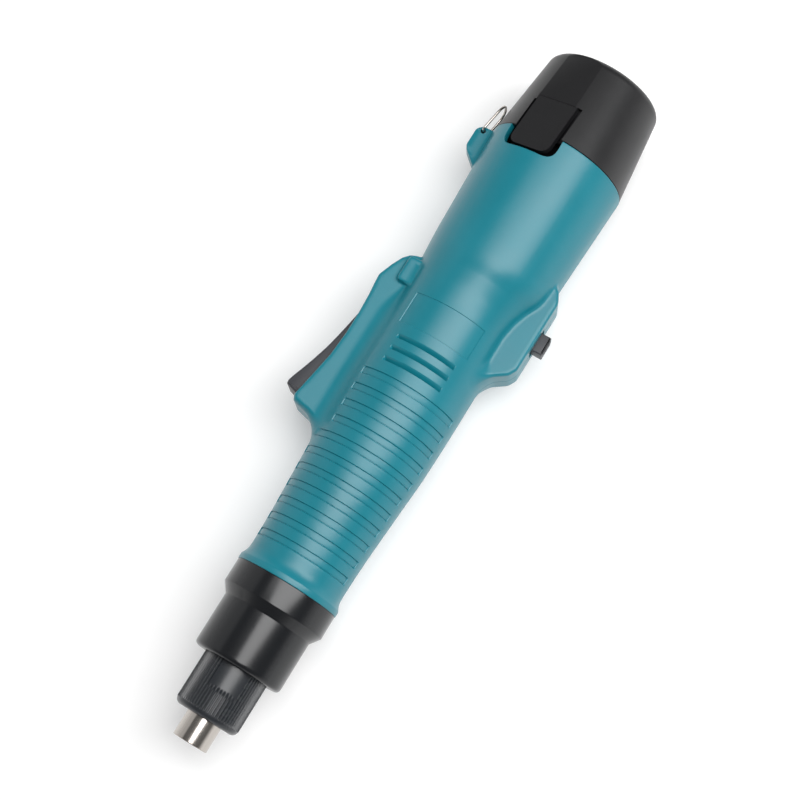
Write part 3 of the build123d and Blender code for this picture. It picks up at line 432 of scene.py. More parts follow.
def curve_through(stations, x):
    """Smooth curve through (x, value) stations without overshoot, level at both ends."""
    xs, ys = np.array(stations, float).T
    slope = np.diff(ys) / np.diff(xs)
    tangent = np.zeros(len(xs))
    both = slope[:-1] * slope[1:] > 0
    tangent[1:-1][both] = 2 * (slope[:-1] * slope[1:])[both] / (slope[:-1] + slope[1:])[both]
    x = np.clip(x, xs[0], xs[-1])
    i = np.clip(np.searchsorted(xs, x) - 1, 0, len(xs) - 2)
    width = (xs[1:] - xs[:-1])[i]
    t = (x - xs[i]) / width
    keep = 1 - 3 * t ** 2 + 2 * t ** 3
    return (keep * ys[i] + (1 - keep) * ys[i + 1]
            + width * tangent[i] * t * (1 - t) ** 2 + width * tangent[i + 1] * t ** 2 * (t - 1))


def ramp(x, start, end):
    """0 before start, 1 after end, and smooth between them."""
    t = np.clip((x - start) / (end - start), 0, 1)
    return t * t * (3 - 2 * t)


def window(x, low, high, slope):
    """1 between low and high, with side walls of the given width."""
    return ramp(x, low, low + slope) * (1 - ramp(x, high - slope, high))


# Distance fields of the casing

def outline_distance(x, y, outline):
    """Distance to a closed outline, negative inside."""
    best = np.full(x.shape, 1e9)
    inside = np.zeros(x.shape, bool)
    for (ax, ay), (bx, by) in zip(outline, np.roll(outline, -1, 0)):
        ex, ey = bx - ax, by - ay
        if ex == 0 and ey == 0:
            continue
        wx, wy = x - ax, y - ay
        t = np.clip((wx * ex + wy * ey) / (ex * ex + ey * ey), 0, 1)
        best = np.minimum(best, (wx - ex * t) ** 2 + (wy - ey * t) ** 2)
        crosses = (ay > y) != (by > y)
        if ey:
            inside ^= crosses & (x < ax + (y - ay) * ex / ey)
    return np.where(inside, -1, 1) * np.sqrt(best)


def plate_distance(flat, z, half, edge):
    """Distance to a plate of an outline, with rims rounded by edge."""
    a, b = flat + edge, np.abs(z) - half + edge
    return np.minimum(np.maximum(a, b), 0) + np.hypot(np.maximum(a, 0), np.maximum(b, 0)) - edge


def blend(a, b, size):
    """Smooth union of two distances."""
    h = np.maximum(size - np.abs(a - b), 0) / size
    return np.minimum(a, b) - h * h * size / 4


shell_low, shell_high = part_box("upper_shell")
CAP_X1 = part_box("pack_cap")[1].x / MM
SHELL_X0 = shell_low.x / MM
SHELL_X1 = shell_high.x / MM - SEAM_BACK
RIM_X = SHELL_X0 + RIM_LEN
OUTLINES = {
    "guard": rounded_outline(GUARD_OUTLINE), "ear": rounded_outline(EAR_OUTLINE),
    "lug": rounded_outline(LUG_OUTLINE),
}


def body_shape(x):
    """Radius and sideways shift of the round body at x."""
    grip_len = GRIP_X1 - NECK_X1
    rise = GRIP_R - NECK_R
    swell = REAR_R[0] - GRIP_R
    grip = [(NECK_X1 + along * grip_len, NECK_R + share * rise) for along, share in GRIP_SWELL]
    radius = curve_through([(RIM_X + FLARE_LEN, NECK_R)] + grip, x)
    middle = (SHOULDER_X[0] + SHOULDER_X[1]) / 2
    rear_slope = (REAR_R[1] - REAR_R[0]) / (SHELL_X1 - SHOULDER_X[1])
    radius = radius + swell * curve_through(SHOULDER, x)
    radius = radius + rear_slope * np.maximum(0, x - middle) * ramp(x, middle, SHOULDER_X[1] + 6)
    flare = np.clip(1 - (x - RIM_X) / FLARE_LEN, 0, 1)
    radius = radius + (RIM_R - NECK_R) * np.where(x < RIM_X, 1, flare ** 2.3)
    for end in (SHELL_X0, SHELL_X1):
        depth = np.clip(1 - np.abs(x - end) / EDGE_ROUND, 0, 1)
        radius = radius - EDGE_ROUND * (1 - np.sqrt(1 - depth ** 2))
    shift = REAR_SHIFT * curve_through(SHOULDER, x)
    return radius, shift


def pivot_distance(x, y):
    """Distance to the outline of the block round the lever's pin, with rounded corners."""
    middle, half = sum(PIVOT_X) / 2, (PIVOT_X[1] - PIVOT_X[0]) / 2
    a, b = np.abs(x - middle) - half + PIVOT_CORNER, y - PIVOT_TOP + PIVOT_CORNER
    flat = np.minimum(np.maximum(a, b), 0) + np.hypot(np.maximum(a, 0), np.maximum(b, 0)) - PIVOT_CORNER
    return np.maximum(flat, 10.0 - y)


def casing_distance(x, y, z):
    """Distance to the casing's outside, with the plates blended into the round body."""
    radius, shift = body_shape(x)
    body = np.hypot(y + shift, z) - radius
    guard_edge = GUARD_EDGE + (GUARD_FRONT_EDGE - GUARD_EDGE) * (1 - ramp(x, *GUARD_FRONT_X))
    guard = plate_distance(outline_distance(x, y, OUTLINES["guard"]), z, GUARD_HALF, guard_edge)
    pivot = plate_distance(pivot_distance(x, y), z, PIVOT_HALF, PIVOT_EDGE)
    ear = plate_distance(outline_distance(x, y, OUTLINES["ear"]), z, EAR_HALF, EAR_EDGE)
    lug = plate_distance(outline_distance(x, y, OUTLINES["lug"]), z, LUG_HALF, LUG_EDGE)
    guard_foot = GUARD_FOOT[0] + (GUARD_FOOT[1] - GUARD_FOOT[0]) * ramp(x, *GUARD_FOOT_X)
    ear_foot = EAR_FOOT[0] + (EAR_FOOT[1] - EAR_FOOT[0]) * ramp(x, *EAR_FOOT_X)
    solid = blend(blend(body, guard, guard_foot), pivot, PIVOT_FOOT)
    return np.minimum(blend(solid, ear, ear_foot), blend(solid, lug, LUG_FOOT))


def lines(low, high, step, fine):
    """Grid lines from low to high, with extra ones where (start, end, step) ranges say."""
    marks = [np.arange(low, high, step), [high]]
    for start, end, fine_step in fine:
        marks.append(np.arange(max(start, low), min(end, high) + fine_step / 2, fine_step))
    marks = np.unique(np.round(np.concatenate(marks), 4))
    kept = [marks[0]]
    for mark in marks[1:]:
        if mark - kept[-1] > CLOSEST_LINES:
            kept.append(mark)
    return np.array(kept)


def casing_x_lines():
    """Places along X of the casing's rings, closer at its ends, plates and grooves."""
    fine = [(SHELL_X0, SHELL_X0 + EDGE_ROUND, 0.06), (RIM_X - 0.2, RIM_X + FLARE_LEN, 0.3)]
    fine += PLATE_X
    fine += [(229.0, SHELL_X1 - 0.6, 0.3), (SHELL_X1 - 0.6, SHELL_X1, CUT_STEP)]
    edges = [BAND_X0 + i * BAND_PITCH + side * BAND_HALF for i in range(BAND_COUNT) for side in (-1, 1)]
    edges += [VENT_X0 + i * VENT_PITCH + side * VENT_HALF for i in range(VENT_COUNT) for side in (-1, 1)]
    edges += list(PANEL_X)
    reach = CUT_SLOPE + CUT_STEP
    fine += [(edge - reach, edge + reach, CUT_STEP) for edge in edges]
    return lines(SHELL_X0, SHELL_X1, X_STEP, fine)


def casing_angle_lines():
    """Angles in degrees from -180 to 180, closer where plates, bands and vents end."""
    fine = list(PLATE_ANGLES)
    for end in (*BAND_ANGLES, GUARD_BAND_END, *VENT_ANGLES, *PANEL_ANGLES):
        for angle in (end, 180 - end, -180 - end):
            if -180 < angle < 180:
                fine.append((angle - ANGLE_REACH, angle + ANGLE_REACH, ANGLE_FINE_STEP))
    return lines(-180.0, 180.0, ANGLE_STEP, fine)[:-1]


def casing_radii(x, angle):
    """Distance of the casing's outside from the drive axis, for each x and angle."""
    y, z = np.sin(angle), np.cos(angle)
    radius, shift = body_shape(x)
    out = -shift * y + np.sqrt(radius ** 2 - (shift * z) ** 2)
    near_plate = (np.abs(z) < PLATE_SHARE) & (x > LEVER_SIDE_X0) & (x < SHELL_X1 - 0.02)
    near_plate &= (y > 0) | ((x > SWITCH_SIDE_X[0]) & (x < SWITCH_SIDE_X[1]))
    xs, ys, zs = x[near_plate], y[near_plate], z[near_plate]
    low = out[near_plate] - SEARCH_MARGIN
    high = np.full(xs.shape, SEARCH_R)
    todo = high > low
    while todo.any():
        r = high[todo] - SEARCH_STEP
        inside = casing_distance(xs[todo], r * ys[todo], r * zs[todo]) < 0
        spot = np.where(todo)[0]
        high[spot[~inside]] = r[~inside]
        todo[spot[inside]] = False
        todo &= high > low
    far, near = high, high - SEARCH_STEP
    for _ in range(HALVINGS):
        middle = (far + near) / 2
        inside = casing_distance(xs, middle * ys, middle * zs) < 0
        near, far = np.where(inside, middle, near), np.where(inside, far, middle)
    out[near_plate] = (far + near) / 2
    return out


def mirrored_angle(degrees):
    """Angle on the front half for each angle, as the back half repeats it."""
    beyond = np.where(degrees > 0, 180 - degrees, -180 - degrees)
    return np.where(np.abs(degrees) <= 90, degrees, beyond)


def around(local, arc, angles, slope):
    """1 between two angles; arc is the length of a degree there."""
    return window(local * arc, angles[0] * arc, angles[1] * arc, slope)


def band_depths(x, local, arc):
    """Depth of each grip band, deeper along its two edges."""
    depths = []
    for i in range(BAND_COUNT):
        middle = BAND_X0 + i * BAND_PITCH
        across = window(x, middle - BAND_HALF, middle + BAND_HALF, CUT_SLOPE)
        for edge in (middle - BAND_HALF, middle + BAND_HALF):
            line = np.maximum(0, 1 - np.abs(x - edge) / BAND_LINE[1])
            across = across + BAND_LINE[0] / BAND_DEPTH * line
        end = GUARD_BAND_END if middle > GUARD_OUTLINE[2][0] else BAND_ANGLES[1]
        depths.append(BAND_DEPTH * across * around(local, arc, (BAND_ANGLES[0], end), CUT_SLOPE))
    return depths


def vent_depths(x, local, arc):
    """Depth of each vent, deepest at the edge nearer the nose."""
    depths = []
    for i in range(VENT_COUNT):
        start = VENT_X0 + i * VENT_PITCH - VENT_HALF
        rise = np.clip((x - start) / (2 * VENT_HALF), 0, 1)
        across = ramp(x, start, start + CUT_SLOPE) * (1 - rise) ** VENT_CURVE
        depths.append(VENT_DEPTH * across * around(local, arc, VENT_ANGLES, VENT_END))
    return depths


def surface_depth(x, angle, radius):
    """Depth of the grip bands, vents, bare panel and seam below the casing's outside."""
    degrees = np.degrees(angle)
    local = mirrored_angle(degrees)
    arc = np.radians(1) * radius
    body, _ = body_shape(x)
    plain = np.clip(1 - (radius - body - BAND_STOP[0]) / BAND_STOP[1], 0, 1)
    panel = window(x, PANEL_X[0], PANEL_X[1], CUT_SLOPE) * around(local, arc, PANEL_ANGLES, CUT_SLOPE)
    seam = 1 - ramp(np.abs(radius * np.cos(angle)), 0, SEAM_HALF)
    depths = [depth * plain for depth in band_depths(x, local, arc)]
    depths += vent_depths(x, local, arc)
    depths += [PANEL_DEPTH * panel * (np.abs(degrees) <= 90), SEAM_DEPTH * seam]
    return sum(depths)


def casing_cavity():
    """Space inside the casing, open at both ends."""
    grip = [(x, float(body_shape(np.array([x]))[0][0]) - WALL) for x in np.linspace(67, 160, 30)]
    start = [(SHELL_X0 - 1, AXIS_R), (SHELL_X0 - 1, NECK_R - WALL)]
    end = [(BAY_FRONT + 1, GRIP_R - WALL), (BAY_FRONT + 1, AXIS_R)]
    front = lathe("cavity", start + grip + end, 128)
    slope = (REAR_R[1] - REAR_R[0]) / (SHELL_X1 - SHOULDER_X[1])
    at_front = REAR_R[0] - WALL + slope * (BAY_FRONT - SHOULDER_X[1])
    at_end = REAR_R[1] - WALL + slope * 2
    bay = [(BAY_FRONT, AXIS_R), (BAY_FRONT, at_front), (SHELL_X1 + 2, at_end), (SHELL_X1 + 2, AXIS_R)]
    return combine(front, lathe("bay", bay, 128, -REAR_SHIFT), "UNION")


def on_tongue(obj, back):
    """Move an object, drawn with its outside along +Z, to the front or back tongue's place."""
    turn = Matrix.Rotation(math.radians(-TONGUE_ANGLE), 4, "X")
    obj.data.transform(Matrix.Translation((0, -REAR_SHIFT * MM, 0)) @ turn)
    if back:
        obj.data.transform(Matrix.Diagonal((1, 1, -1, 1)))
        obj.data.flip_normals()
    return obj


def cap_radius(x):
    """Radius of the battery's cap, which tapers to its far end."""
    start = REAR_R[1] + PACK_LIP
    return start + (PACK_END_R - start) * (x - SHELL_X1) / (CAP_X1 - PACK_CORNER - SHELL_X1)


def casing_outside():
    """Closed outer form of the whole casing."""
    x, angle = np.meshgrid(casing_x_lines(), np.radians(casing_angle_lines()), indexing="ij")
    radius = casing_radii(x, angle)
    radius = radius - surface_depth(x, angle, radius)
    grid = np.stack([x, radius * np.sin(angle), radius * np.cos(angle)], -1)
    return outward(tube_object("casing_front", grid))


def knob_slot():
    """Opening in the ear's face that the knob slides in."""
    reach, half = KNOB_TRAVEL + SLOT_GAP[0], KNOB_HALF + SLOT_GAP[1]
    ends = (KNOB_X[0] - reach, KNOB_X[1] + reach)
    return box_object("slot", ends, (-EAR_FACE - 2, -EAR_FACE + 6), (-half, half))


def tongue_notch(is_back):
    """Opening in the casing's end for a tongue of the battery."""
    (y0, y1), x1 = NOTCH_ACROSS, SHELL_X1 + 8
    outline = [(NOTCH_X, y0, TONGUE_CORNER), (x1, y0), (x1, y1), (NOTCH_X, y1, TONGUE_CORNER)]
    notch = plate("notch", outline, 10)
    notch.data.transform(Matrix.Translation((0, 0, CUT_MIDDLE * MM)))
    return on_tongue(notch, is_back)


def casing():
    """Both halves of the casing."""
    front = casing_outside()
    cuts = [casing_cavity(), plate("pocket", POCKET_OUTLINE, POCKET_HALF), knob_slot()]
    cuts.append(rod_z("ring_hole", RING_X, RING_Y, -2 * LUG_HALF, 2 * LUG_HALF, RING_HOLE_R))
    cuts += [tongue_notch(is_back) for is_back in (False, True)]
    for cut in cuts:
        combine(front, cut)
    back = front.copy()
    back.data = front.data.copy()
    back.name = "casing_back"
    scene.collection.objects.link(back)
    length, across = (0, HALF_CUT[0]), (-HALF_CUT[1], HALF_CUT[1])
    combine(front, box_object("behind", length, across, (-HALF_CUT[1], 0)))
    combine(back, box_object("before", length, across, (0, HALF_CUT[1])))
    return smooth(front, 32), smooth(back, 32)


# Other pieces

def nose_cone():
    """Front cap that steps down to the collar, with a tail inside the casing."""
    tail_r = NECK_R - WALL - 0.1
    tail_x = SHELL_X0 + NOSE_TAIL
    mouth_r = TORQUE_R + RING_GAP
    return smooth(lathe("nose_cone_body", [
        (NOSE_X0, mouth_r, 0.2), (NOSE_X0, NOSE_R, NOSE_ROUND), (NOSE_STEP_X, NOSE_R, 0.5),
        (NOSE_CONE_X, NOSE_REAR_R, 0.5), (SHELL_X0, NOSE_REAR_R, 0.2), (SHELL_X0, tail_r),
        (tail_x, tail_r), (tail_x, NOSE_BORE_R), (NOSE_X0 + NOSE_WALL, NOSE_BORE_R),
        (NOSE_X0 + NOSE_WALL, mouth_r),
    ], 256))


def torque_ring():
    """Ring with fine ribs, a round front edge and a bare panel that faces the front."""
    x0, x1 = TORQUE_X
    bore_r, round_r = SLEEVE_R + SLEEVE_GAP, TORQUE_R - TORQUE_ROUND - TORQUE_DRAFT
    front = [(x0, bore_r), (x0, round_r)]
    for k in range(1, 7):
        t = math.radians(15 * k)
        front.append((x0 + TORQUE_ROUND * (1 - math.cos(t)), round_r + TORQUE_ROUND * math.sin(t)))
    stations = [(x, r, 0.0) for x, r in front]
    stations += [(RIB_X0, TORQUE_R, 0.0), (RIB_X0 + 0.25, TORQUE_R, 1.0)]
    stations += [(x, TORQUE_R, 1.0) for x in np.linspace(RIB_X0 + 1, x1, 24)]
    inside = [(x1, TORQUE_BORE_R), (TORQUE_WALL_X, TORQUE_BORE_R), (TORQUE_WALL_X, bore_r)]
    stations += [(x, r, 0.0) for x, r in inside]
    count = TORQUE_RIBS * RIB_POINTS
    turn = 2 * math.pi * np.arange(count) / count
    wave = np.abs(((turn * TORQUE_RIBS / (2 * math.pi)) % 1) - 0.5) * 2
    groove = 1 - ramp(wave, *RIB_FLANK)
    centre = math.radians(TORQUE_PANEL_ANGLE)
    off = np.abs((turn - centre + math.pi) % (2 * math.pi) - math.pi)
    on_panel = off < TORQUE_PANEL_WIDTH / 2 / TORQUE_R
    grid = []
    for x, r, ribbed in stations:
        depth = RIB_DEPTH * ribbed * groove
        if x > TORQUE_PANEL_X0:
            depth = np.where(on_panel, 0, depth)
        rr = r - depth
        grid.append(np.stack([np.full(count, x), rr * np.sin(turn), rr * np.cos(turn)], -1))
    return smooth(outward(tube_object("torque_ring_body", np.array(grid), closed=True)), 40)


def chuck_sleeve():
    """Bit-holder sleeve, wider inside at both ends."""
    mouth, middle, back = SLEEVE_BORES
    x0, x1 = SLEEVE_STEPS
    return smooth(lathe("chuck_sleeve_body", [
        (0.0, mouth, 0.2), (0.0, SLEEVE_R, SLEEVE_EDGE), (SLEEVE_LEN, SLEEVE_R), (SLEEVE_LEN, back),
        (x1, back), (x1, middle), (x0, middle), (x0, mouth),
    ], 160))


def lever():
    """Start lever, whose curved outside is smoothed three times."""
    xs, ys = np.array(LEVER_CURVE).T
    fine = np.linspace(xs[0], xs[-1], 60)
    outer = list(zip(fine, np.interp(fine, xs, ys)))
    for _ in range(3):
        inner = [tuple((np.array(a) + 2 * np.array(b) + np.array(c)) / 4)
                 for a, b, c in zip(outer, outer[1:], outer[2:])]
        outer = [outer[0]] + inner + [outer[-1]]
    return smooth(plate("lever_body", outer + LEVER_UNDER, LEVER_HALF, LEVER_EDGE), 35)


def direction_knob():
    """Slide switch's knob with fine ribs across its outer face."""
    x0, x1 = KNOB_X
    out = -(EAR_FACE + KNOB_OUT)
    points = [(x0, -KNOB_ROOT), (x0, out + 0.1, KNOB_CORNER)]
    pitch = (x1 - x0 - 2 * KNOB_MARGIN) / KNOB_RIBS
    for i in range(KNOB_RIBS):
        start = x0 + KNOB_MARGIN + i * pitch
        points += [(start + share * pitch, out) for share in (0.12, 0.5)]
        points += [(start + share * pitch, out + KNOB_STEP) for share in (0.62, 0.95)]
    points += [(x1, out + 0.1, KNOB_CORNER), (x1, -KNOB_ROOT)]
    return smooth(plate("direction_knob_body", points, KNOB_HALF, KNOB_EDGE), 30)


def sweep(name, path, radius, segments=20):
    """Round wire along a closed path of points."""
    path = np.array(path, float)
    ahead = np.roll(path, -1, 0) - np.roll(path, 1, 0)
    ahead /= np.linalg.norm(ahead, axis=1)[:, None]
    normal = np.cross(path[1] - path[0], path[len(path) // 3] - path[0])
    normal /= np.linalg.norm(normal)
    side = np.cross(ahead, normal)
    turn = np.linspace(0, 2 * math.pi, segments, endpoint=False)
    grid = path[:, None, :] + radius * (
        np.cos(turn)[None, :, None] * side[:, None, :] + np.sin(turn)[None, :, None] * normal)
    return outward(tube_object(name, grid, closed=True))


def hang_ring():
    """Bent wire loop, leaning back from the lug."""
    lean = math.radians(RING_LEAN)
    along = np.array([math.cos(lean), -math.sin(lean), 0.0])
    half = RING_WIDTH / 2
    near, far = RING_CORNERS
    outline = rounded_outline([(0, -half, near), (RING_LENGTH, -half, far), (RING_LENGTH, half, far),
                               (0, half, near)], 10)
    path = [np.array([RING_X, RING_Y, 0.0]) + u * along + np.array([0, 0, v]) for u, v in outline]
    return smooth(sweep("hang_ring_wire", path, RING_WIRE_R), 60)


def battery_cap():
    """Cup of the battery, with a flat, a bay and two slots for each tongue."""
    x0, edge_x = SHELL_X1, CAP_X1 - PACK_CORNER
    lead_x, lead_r = PACK_LEAD
    profile = [(x0, PACK_MOUTH_R), (x0, REAR_R[1] - lead_r), (x0 + lead_x, cap_radius(x0))]
    profile.append((edge_x, PACK_END_R))
    for k in range(1, 10):
        t = math.radians(10 * k)
        drop = PACK_CORNER * (1 - math.cos(t))
        profile.append((edge_x + PACK_CORNER * math.sin(t), PACK_END_R - drop))
    profile += [(CAP_X1, 2 * AXIS_R), (PACK_FLOOR_X, 2 * AXIS_R), (PACK_FLOOR_X, PACK_BORE_R)]
    profile += [(x0 + 3, PACK_BORE_R)]
    cap = lathe("battery_cap", profile, 256, -REAR_SHIFT)
    tongue_end = TONGUE_X[1] + TONGUE_GAP
    for is_back in (False, True):
        ends = [(x, FACET_ACROSS, (FACET_SHARE * cap_radius(x), CUT_OUT)) for x in (x0 - 1, CAP_X1 + 1)]
        cuts = [prism("facet", ends)]
        bay = (TONGUE_ACROSS[0] - 0.1, TONGUE_ACROSS[1] + 0.1)
        heights = (PACK_MOUTH_R, CUT_OUT)
        cuts.append(box_object("bay", (x0 - 1, tongue_end), bay, heights))
        for y0, y1, slot_end in SLOTS:
            cuts.append(box_object("slot", (x0 - 1, slot_end), (y0, y1), heights))
        for cut in cuts:
            combine(cap, on_tongue(cut, is_back))
    return smooth(cap, 32)


def latch_tab(name, is_back):
    """Sprung tongue of the battery's catch: flat on top, with round corners at its tip."""
    (x0, x1), (y0, y1) = TONGUE_X, TONGUE_ACROSS
    tops = [(x, FACET_SHARE * cap_radius(x)) for x in (x0 - 1, x1)]
    tongue = prism(name, [(x, (y0 - 1, y1 + 1), (top - TONGUE_THICK, top)) for x, top in tops])
    corner = TONGUE_CORNER - 1
    outline = plate("outline", [(x0, y0, corner), (x1, y0), (x1, y1), (x0, y1, corner)], 15)
    outline.data.transform(Matrix.Translation((0, 0, CUT_MIDDLE * MM)))
    combine(tongue, outline, "INTERSECT")
    return smooth(on_tongue(tongue, is_back), 30)


def latch_pins():
    """Cross pin under the hinge end of each tongue, inside the cap's skin."""
    x, height, half, radius = LATCH_PIN
    turn = np.linspace(0, 2 * math.pi, 24, endpoint=False)
    ring_x, ring_z = x + radius * np.cos(turn), height + radius * np.sin(turn)
    lean = math.radians(TONGUE_ANGLE)
    pins = []
    for side in (1, -1):
        rings = []
        for y in (-half, half):
            at_y = math.cos(lean) * y + math.sin(lean) * ring_z - REAR_SHIFT
            at_z = side * (math.cos(lean) * ring_z - math.sin(lean) * y)
            rings.append(np.stack([ring_x, at_y, at_z], -1))
        pins.append(outward(tube_object("latch_pin", np.array(rings))))
    return smooth(combine(pins[0], pins[1], "UNION"))


def housing_screws():
    """The casing's screws, with their heads inside its skin."""
    screws = None
    for x, y in SCREW_PLACES:
        for low_end, high_end, radius in (SCREW_SHANK, SCREW_HEAD):
            rod = rod_z("housing_screws_body", x, y, low_end, high_end, radius)
            screws = combine(screws, rod, "UNION") if screws else rod
    return smooth(screws, 30)


def lever_pin():
    """Cross pin that the lever turns on."""
    x, y, half, radius = LEVER_PIN
    return smooth(rod_z("lever_pin_body", x, y, -half, half, radius))


# Materials

def material(name, colour, roughness, metallic=0.0):
    made = bpy.data.materials.new(name)
    made.use_nodes = True
    shader = made.node_tree.nodes["Principled BSDF"]
    shader.inputs["Base Color"].default_value = (*colour, 1)
    shader.inputs["Roughness"].default_value = roughness
    shader.inputs["Metallic"].default_value = metallic
    return made


def add_grain(made, scale, depth, spread=0.06, tint=0.08):
    """Fine moulded grain: bump, and slight changes of roughness and colour."""
    nodes, links = made.node_tree.nodes, made.node_tree.links
    shader = nodes["Principled BSDF"]
    place = nodes.new("ShaderNodeTexCoord")
    fine = nodes.new("ShaderNodeTexNoise")
    fine.inputs["Scale"].default_value = scale
    fine.inputs["Detail"].default_value = 3
    broad = nodes.new("ShaderNodeTexNoise")
    broad.inputs["Scale"].default_value = BROAD_GRAIN
    broad.inputs["Detail"].default_value = 4
    bump = nodes.new("ShaderNodeBump")
    bump.inputs["Strength"].default_value = 1
    bump.inputs["Distance"].default_value = depth * MM
    rough = nodes.new("ShaderNodeMapRange")
    level = shader.inputs["Roughness"].default_value
    rough.inputs["To Min"].default_value = level - spread
    rough.inputs["To Max"].default_value = level + spread
    colour = shader.inputs["Base Color"].default_value[:3]
    mix = nodes.new("ShaderNodeMix")
    mix.data_type = "RGBA"
    mix.inputs["A"].default_value = (*[c * (1 - tint) for c in colour], 1)
    mix.inputs["B"].default_value = (*[min(1, c * (1 + tint)) for c in colour], 1)
    links.new(place.outputs["Object"], fine.inputs["Vector"])
    links.new(place.outputs["Object"], broad.inputs["Vector"])
    links.new(fine.outputs["Fac"], bump.inputs["Height"])
    links.new(bump.outputs["Normal"], shader.inputs["Normal"])
    links.new(broad.outputs["Fac"], rough.inputs["Value"])
    links.new(rough.outputs["Result"], shader.inputs["Roughness"])
    links.new(broad.outputs["Fac"], mix.inputs["Factor"])
    links.new(mix.outputs["Result"], shader.inputs["Base Color"])
    return made


def linear(hex_colour):
    """Linear colour of a #rrggbb value."""
    out = []
    for i in (1, 3, 5):
        c = int(hex_colour[i:i + 2], 16) / 255
        out.append(c / 12.92 if c <= 0.04045 else ((c + 0.055) / 1.055) ** 2.4)
    return tuple(out)


TEAL = add_grain(material("teal_plastic", linear("#0f7887"), 0.34), 5200, 0.009)
NOSE_BLACK = add_grain(material("nose_black", linear("#141619"), 0.22), 3000, 0.002, 0.04)
DARK_RING = add_grain(material("ring_dark", linear("#282b2f"), 0.26), 4000, 0.003)
CHROME = add_grain(material("chrome_plate", (0.5, 0.465, 0.43), 0.19, 1.0), 2500, 0.0006, 0.03, 0.03)
STEEL = add_grain(material("steel_grey", (0.55, 0.54, 0.52), 0.3, 1.0), 2500, 0.002)
BLACK = add_grain(material("battery_plastic", linear("#151517"), 0.4), 4600, 0.01)
LEVER_GREY = add_grain(material("lever_plastic", linear("#37383d"), 0.42), 4200, 0.008)
KNOB_GREY = add_grain(material("knob_plastic", linear("#3c3d41"), 0.42), 4200, 0.008)
BRONZE = add_grain(material("bronze_bush", (0.5, 0.32, 0.14), 0.4, 1.0), 2500, 0.002)
MAGNET = add_grain(material("magnet_ferrite", linear("#333335"), 0.6), 2500, 0.004)
COPPER = add_grain(material("copper_wire", (0.78, 0.36, 0.2), 0.35, 1.0), 2500, 0.002)
SWITCH_BLACK = add_grain(material("switch_plastic", linear("#222224"), 0.5), 4000, 0.006)
WHITE = add_grain(material("plunger_plastic", linear("#e2e0da"), 0.5), 4000, 0.006)
BOARD = add_grain(material("board_green", linear("#1f5c38"), 0.4), 3000, 0.002)
CELL_WRAP = add_grain(material("cell_wrap", linear("#2f6fae"), 0.35), 3000, 0.002)

SLOT_MATERIALS = {
    "teal_shell": TEAL, "black_nose": NOSE_BLACK, "dark_ring": DARK_RING, "chrome": CHROME,
    "steel": STEEL, "bronze": BRONZE, "magnet": MAGNET, "copper": COPPER,
    "switch_black": SWITCH_BLACK, "plunger_white": WHITE, "lever_grey": LEVER_GREY,
    "knob_grey": KNOB_GREY, "board_green": BOARD, "battery_black": BLACK, "cell_wrap": CELL_WRAP,
}


def dress_nodes():
    """Give each carried-over node the finish of its slot."""
    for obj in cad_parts.values():
        for slot in obj.material_slots:
            name = slot.material.name.split(".")[0] if slot.material else ""
            slot.material = SLOT_MATERIALS.get(name, STEEL)


def place(obj, slot, body, *nodes):
    """Give a new piece its finish and its body, in place of the nodes named."""
    obj.data.materials.clear()
    obj.data.materials.append(SLOT_MATERIALS[slot])
    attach(obj, body)
    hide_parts(*nodes)


# Studio

def camera():
    """Camera above the front, turned so that the tool runs up the picture."""
    tilt, side, turn = (math.radians(v) for v in (CAMERA_TILT, CAMERA_SIDE, PICTURE_TURN))
    back = Vector((-math.sin(tilt), -math.cos(tilt) * math.sin(side), math.cos(tilt) * math.cos(side)))
    along = Vector((1, 0, 0))
    along = (along - along.dot(back) * back).normalized()
    across = back.cross(along)
    up = math.cos(turn) * along + math.sin(turn) * across
    right = math.sin(turn) * along - math.cos(turn) * across
    data = bpy.data.cameras.new("camera")
    data.lens = LENS
    data.sensor_width = 36
    data.clip_start, data.clip_end = 0.05, 20
    obj = bpy.data.objects.new("camera", data)
    scene.collection.objects.link(obj)
    stand = (Vector(CAMERA_TARGET) + back * CAMERA_DISTANCE) * MM
    axes = Matrix((right, up, back)).transposed()
    obj.matrix_world = Matrix.Translation(stand) @ axes.to_4x4()
    scene.camera = obj


def area_light(name, place_at, turn, size, radiance):
    """Rectangle of light; turn holds its rotation in degrees, and at 0 it faces straight down."""
    data = bpy.data.lights.new(name, "AREA")
    data.shape = "RECTANGLE"
    data.size, data.size_y = size
    data.energy = radiance * math.pi * size[0] * size[1]
    obj = bpy.data.objects.new(name, data)
    obj.location = place_at
    obj.rotation_euler = [math.radians(angle) for angle in turn]
    scene.collection.objects.link(obj)


def seen_directly(nodes, links):
    """1 for camera, glossy and transmission rays, 0 for the others."""
    path = nodes.new("ShaderNodeLightPath")
    total = path.outputs["Is Camera Ray"]
    for name in ("Is Glossy Ray", "Is Transmission Ray"):
        either = nodes.new("ShaderNodeMath")
        either.operation = "MAXIMUM"
        links.new(total, either.inputs[0])
        links.new(path.outputs[name], either.inputs[1])
        total = either.outputs[0]
    return total


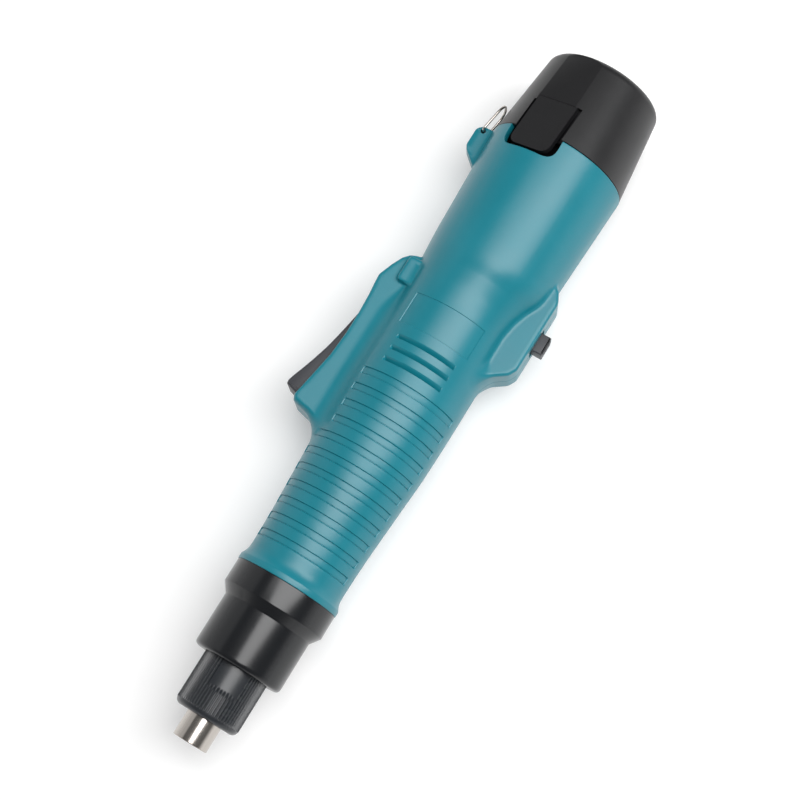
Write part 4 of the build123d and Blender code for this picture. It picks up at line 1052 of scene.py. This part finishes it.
def sky():
    """White world that is bright at the horizon and dim overhead."""
    world = bpy.data.worlds.new("world")
    scene.world = world
    world.use_nodes = True
    nodes, links = world.node_tree.nodes, world.node_tree.links
    background = nodes["Background"]
    background.inputs["Color"].default_value = (1, 1, 1, 1)
    direction = nodes.new("ShaderNodeTexCoord")
    height = nodes.new("ShaderNodeSeparateXYZ")
    strength = nodes.new("ShaderNodeMapRange")
    strength.interpolation_type = "SMOOTHSTEP"
    strength.inputs["From Min"].default_value = SKY_HEIGHT[0]
    strength.inputs["From Max"].default_value = SKY_HEIGHT[1]
    strength.inputs["To Min"].default_value = 1.0
    strength.inputs["To Max"].default_value = SKY_STRENGTH
    links.new(direction.outputs["Generated"], height.inputs[0])
    links.new(height.outputs["Z"], strength.inputs["Value"])
    links.new(strength.outputs["Result"], background.inputs["Strength"])


def paper():
    """Pale grey that looks white to the camera and in reflections, and keeps shadows."""
    made = bpy.data.materials.new("paper")
    made.use_nodes = True
    nodes, links = made.node_tree.nodes, made.node_tree.links
    shader = nodes["Principled BSDF"]
    shader.inputs["Base Color"].default_value = (FLOOR_GREY, FLOOR_GREY, FLOOR_GREY, 1)
    shader.inputs["Roughness"].default_value = 1
    shader.inputs["Specular IOR Level"].default_value = 0
    shader.inputs["Emission Color"].default_value = (1, 1, 1, 1)
    glow = nodes.new("ShaderNodeMath")
    glow.operation = "MULTIPLY"
    glow.inputs[1].default_value = FLOOR_GLOW
    links.new(seen_directly(nodes, links), glow.inputs[0])
    links.new(glow.outputs[0], shader.inputs["Emission Strength"])
    return made


def studio():
    """Lamps, sky and floor."""
    for name, (place_at, turn, size, radiance) in LAMPS.items():
        area_light(name, place_at, turn, size, radiance)
    sky()
    height = cad_low.z / MM - FLOOR_GAP
    signs = [(-1, -1), (1, -1), (1, 1), (-1, 1)]
    corners = [(FLOOR_HALF * x, FLOOR_HALF * y, height) for x, y in signs]
    floor = mesh_object("floor", corners, [[0, 1, 2, 3]])
    floor.data.materials.append(paper())


def build():
    """Dress the frame's nodes and put each new piece in its node's place."""
    dress_nodes()
    front, back = casing()
    place(front, "teal_shell", "housing", "upper_shell")
    place(back, "teal_shell", "housing", "lower_shell")
    place(nose_cone(), "black_nose", "housing", "nose_cone")
    place(torque_ring(), "dark_ring", "torque_ring", "torque_ring")
    place(chuck_sleeve(), "chrome", "chuck_sleeve", "chuck_sleeve")
    place(lever(), "lever_grey", "lever", "lever")
    place(direction_knob(), "knob_grey", "direction_knob", "direction_knob")
    place(hang_ring(), "chrome", "hang_ring", "hang_ring")
    place(battery_cap(), "battery_black", "battery", "pack_cap")
    place(latch_tab("latch_front", False), "battery_black", "latch_tab_front", "latch_tab_front")
    place(latch_tab("latch_back", True), "battery_black", "latch_tab_back", "latch_tab_back")
    place(latch_pins(), "steel", "battery", "latch_pins")
    place(lever_pin(), "steel", "housing", "lever_pin")
    place(housing_screws(), "steel", "housing", "housing_screws")


build()
camera()
studio()
scene.view_settings.view_transform = "Standard"
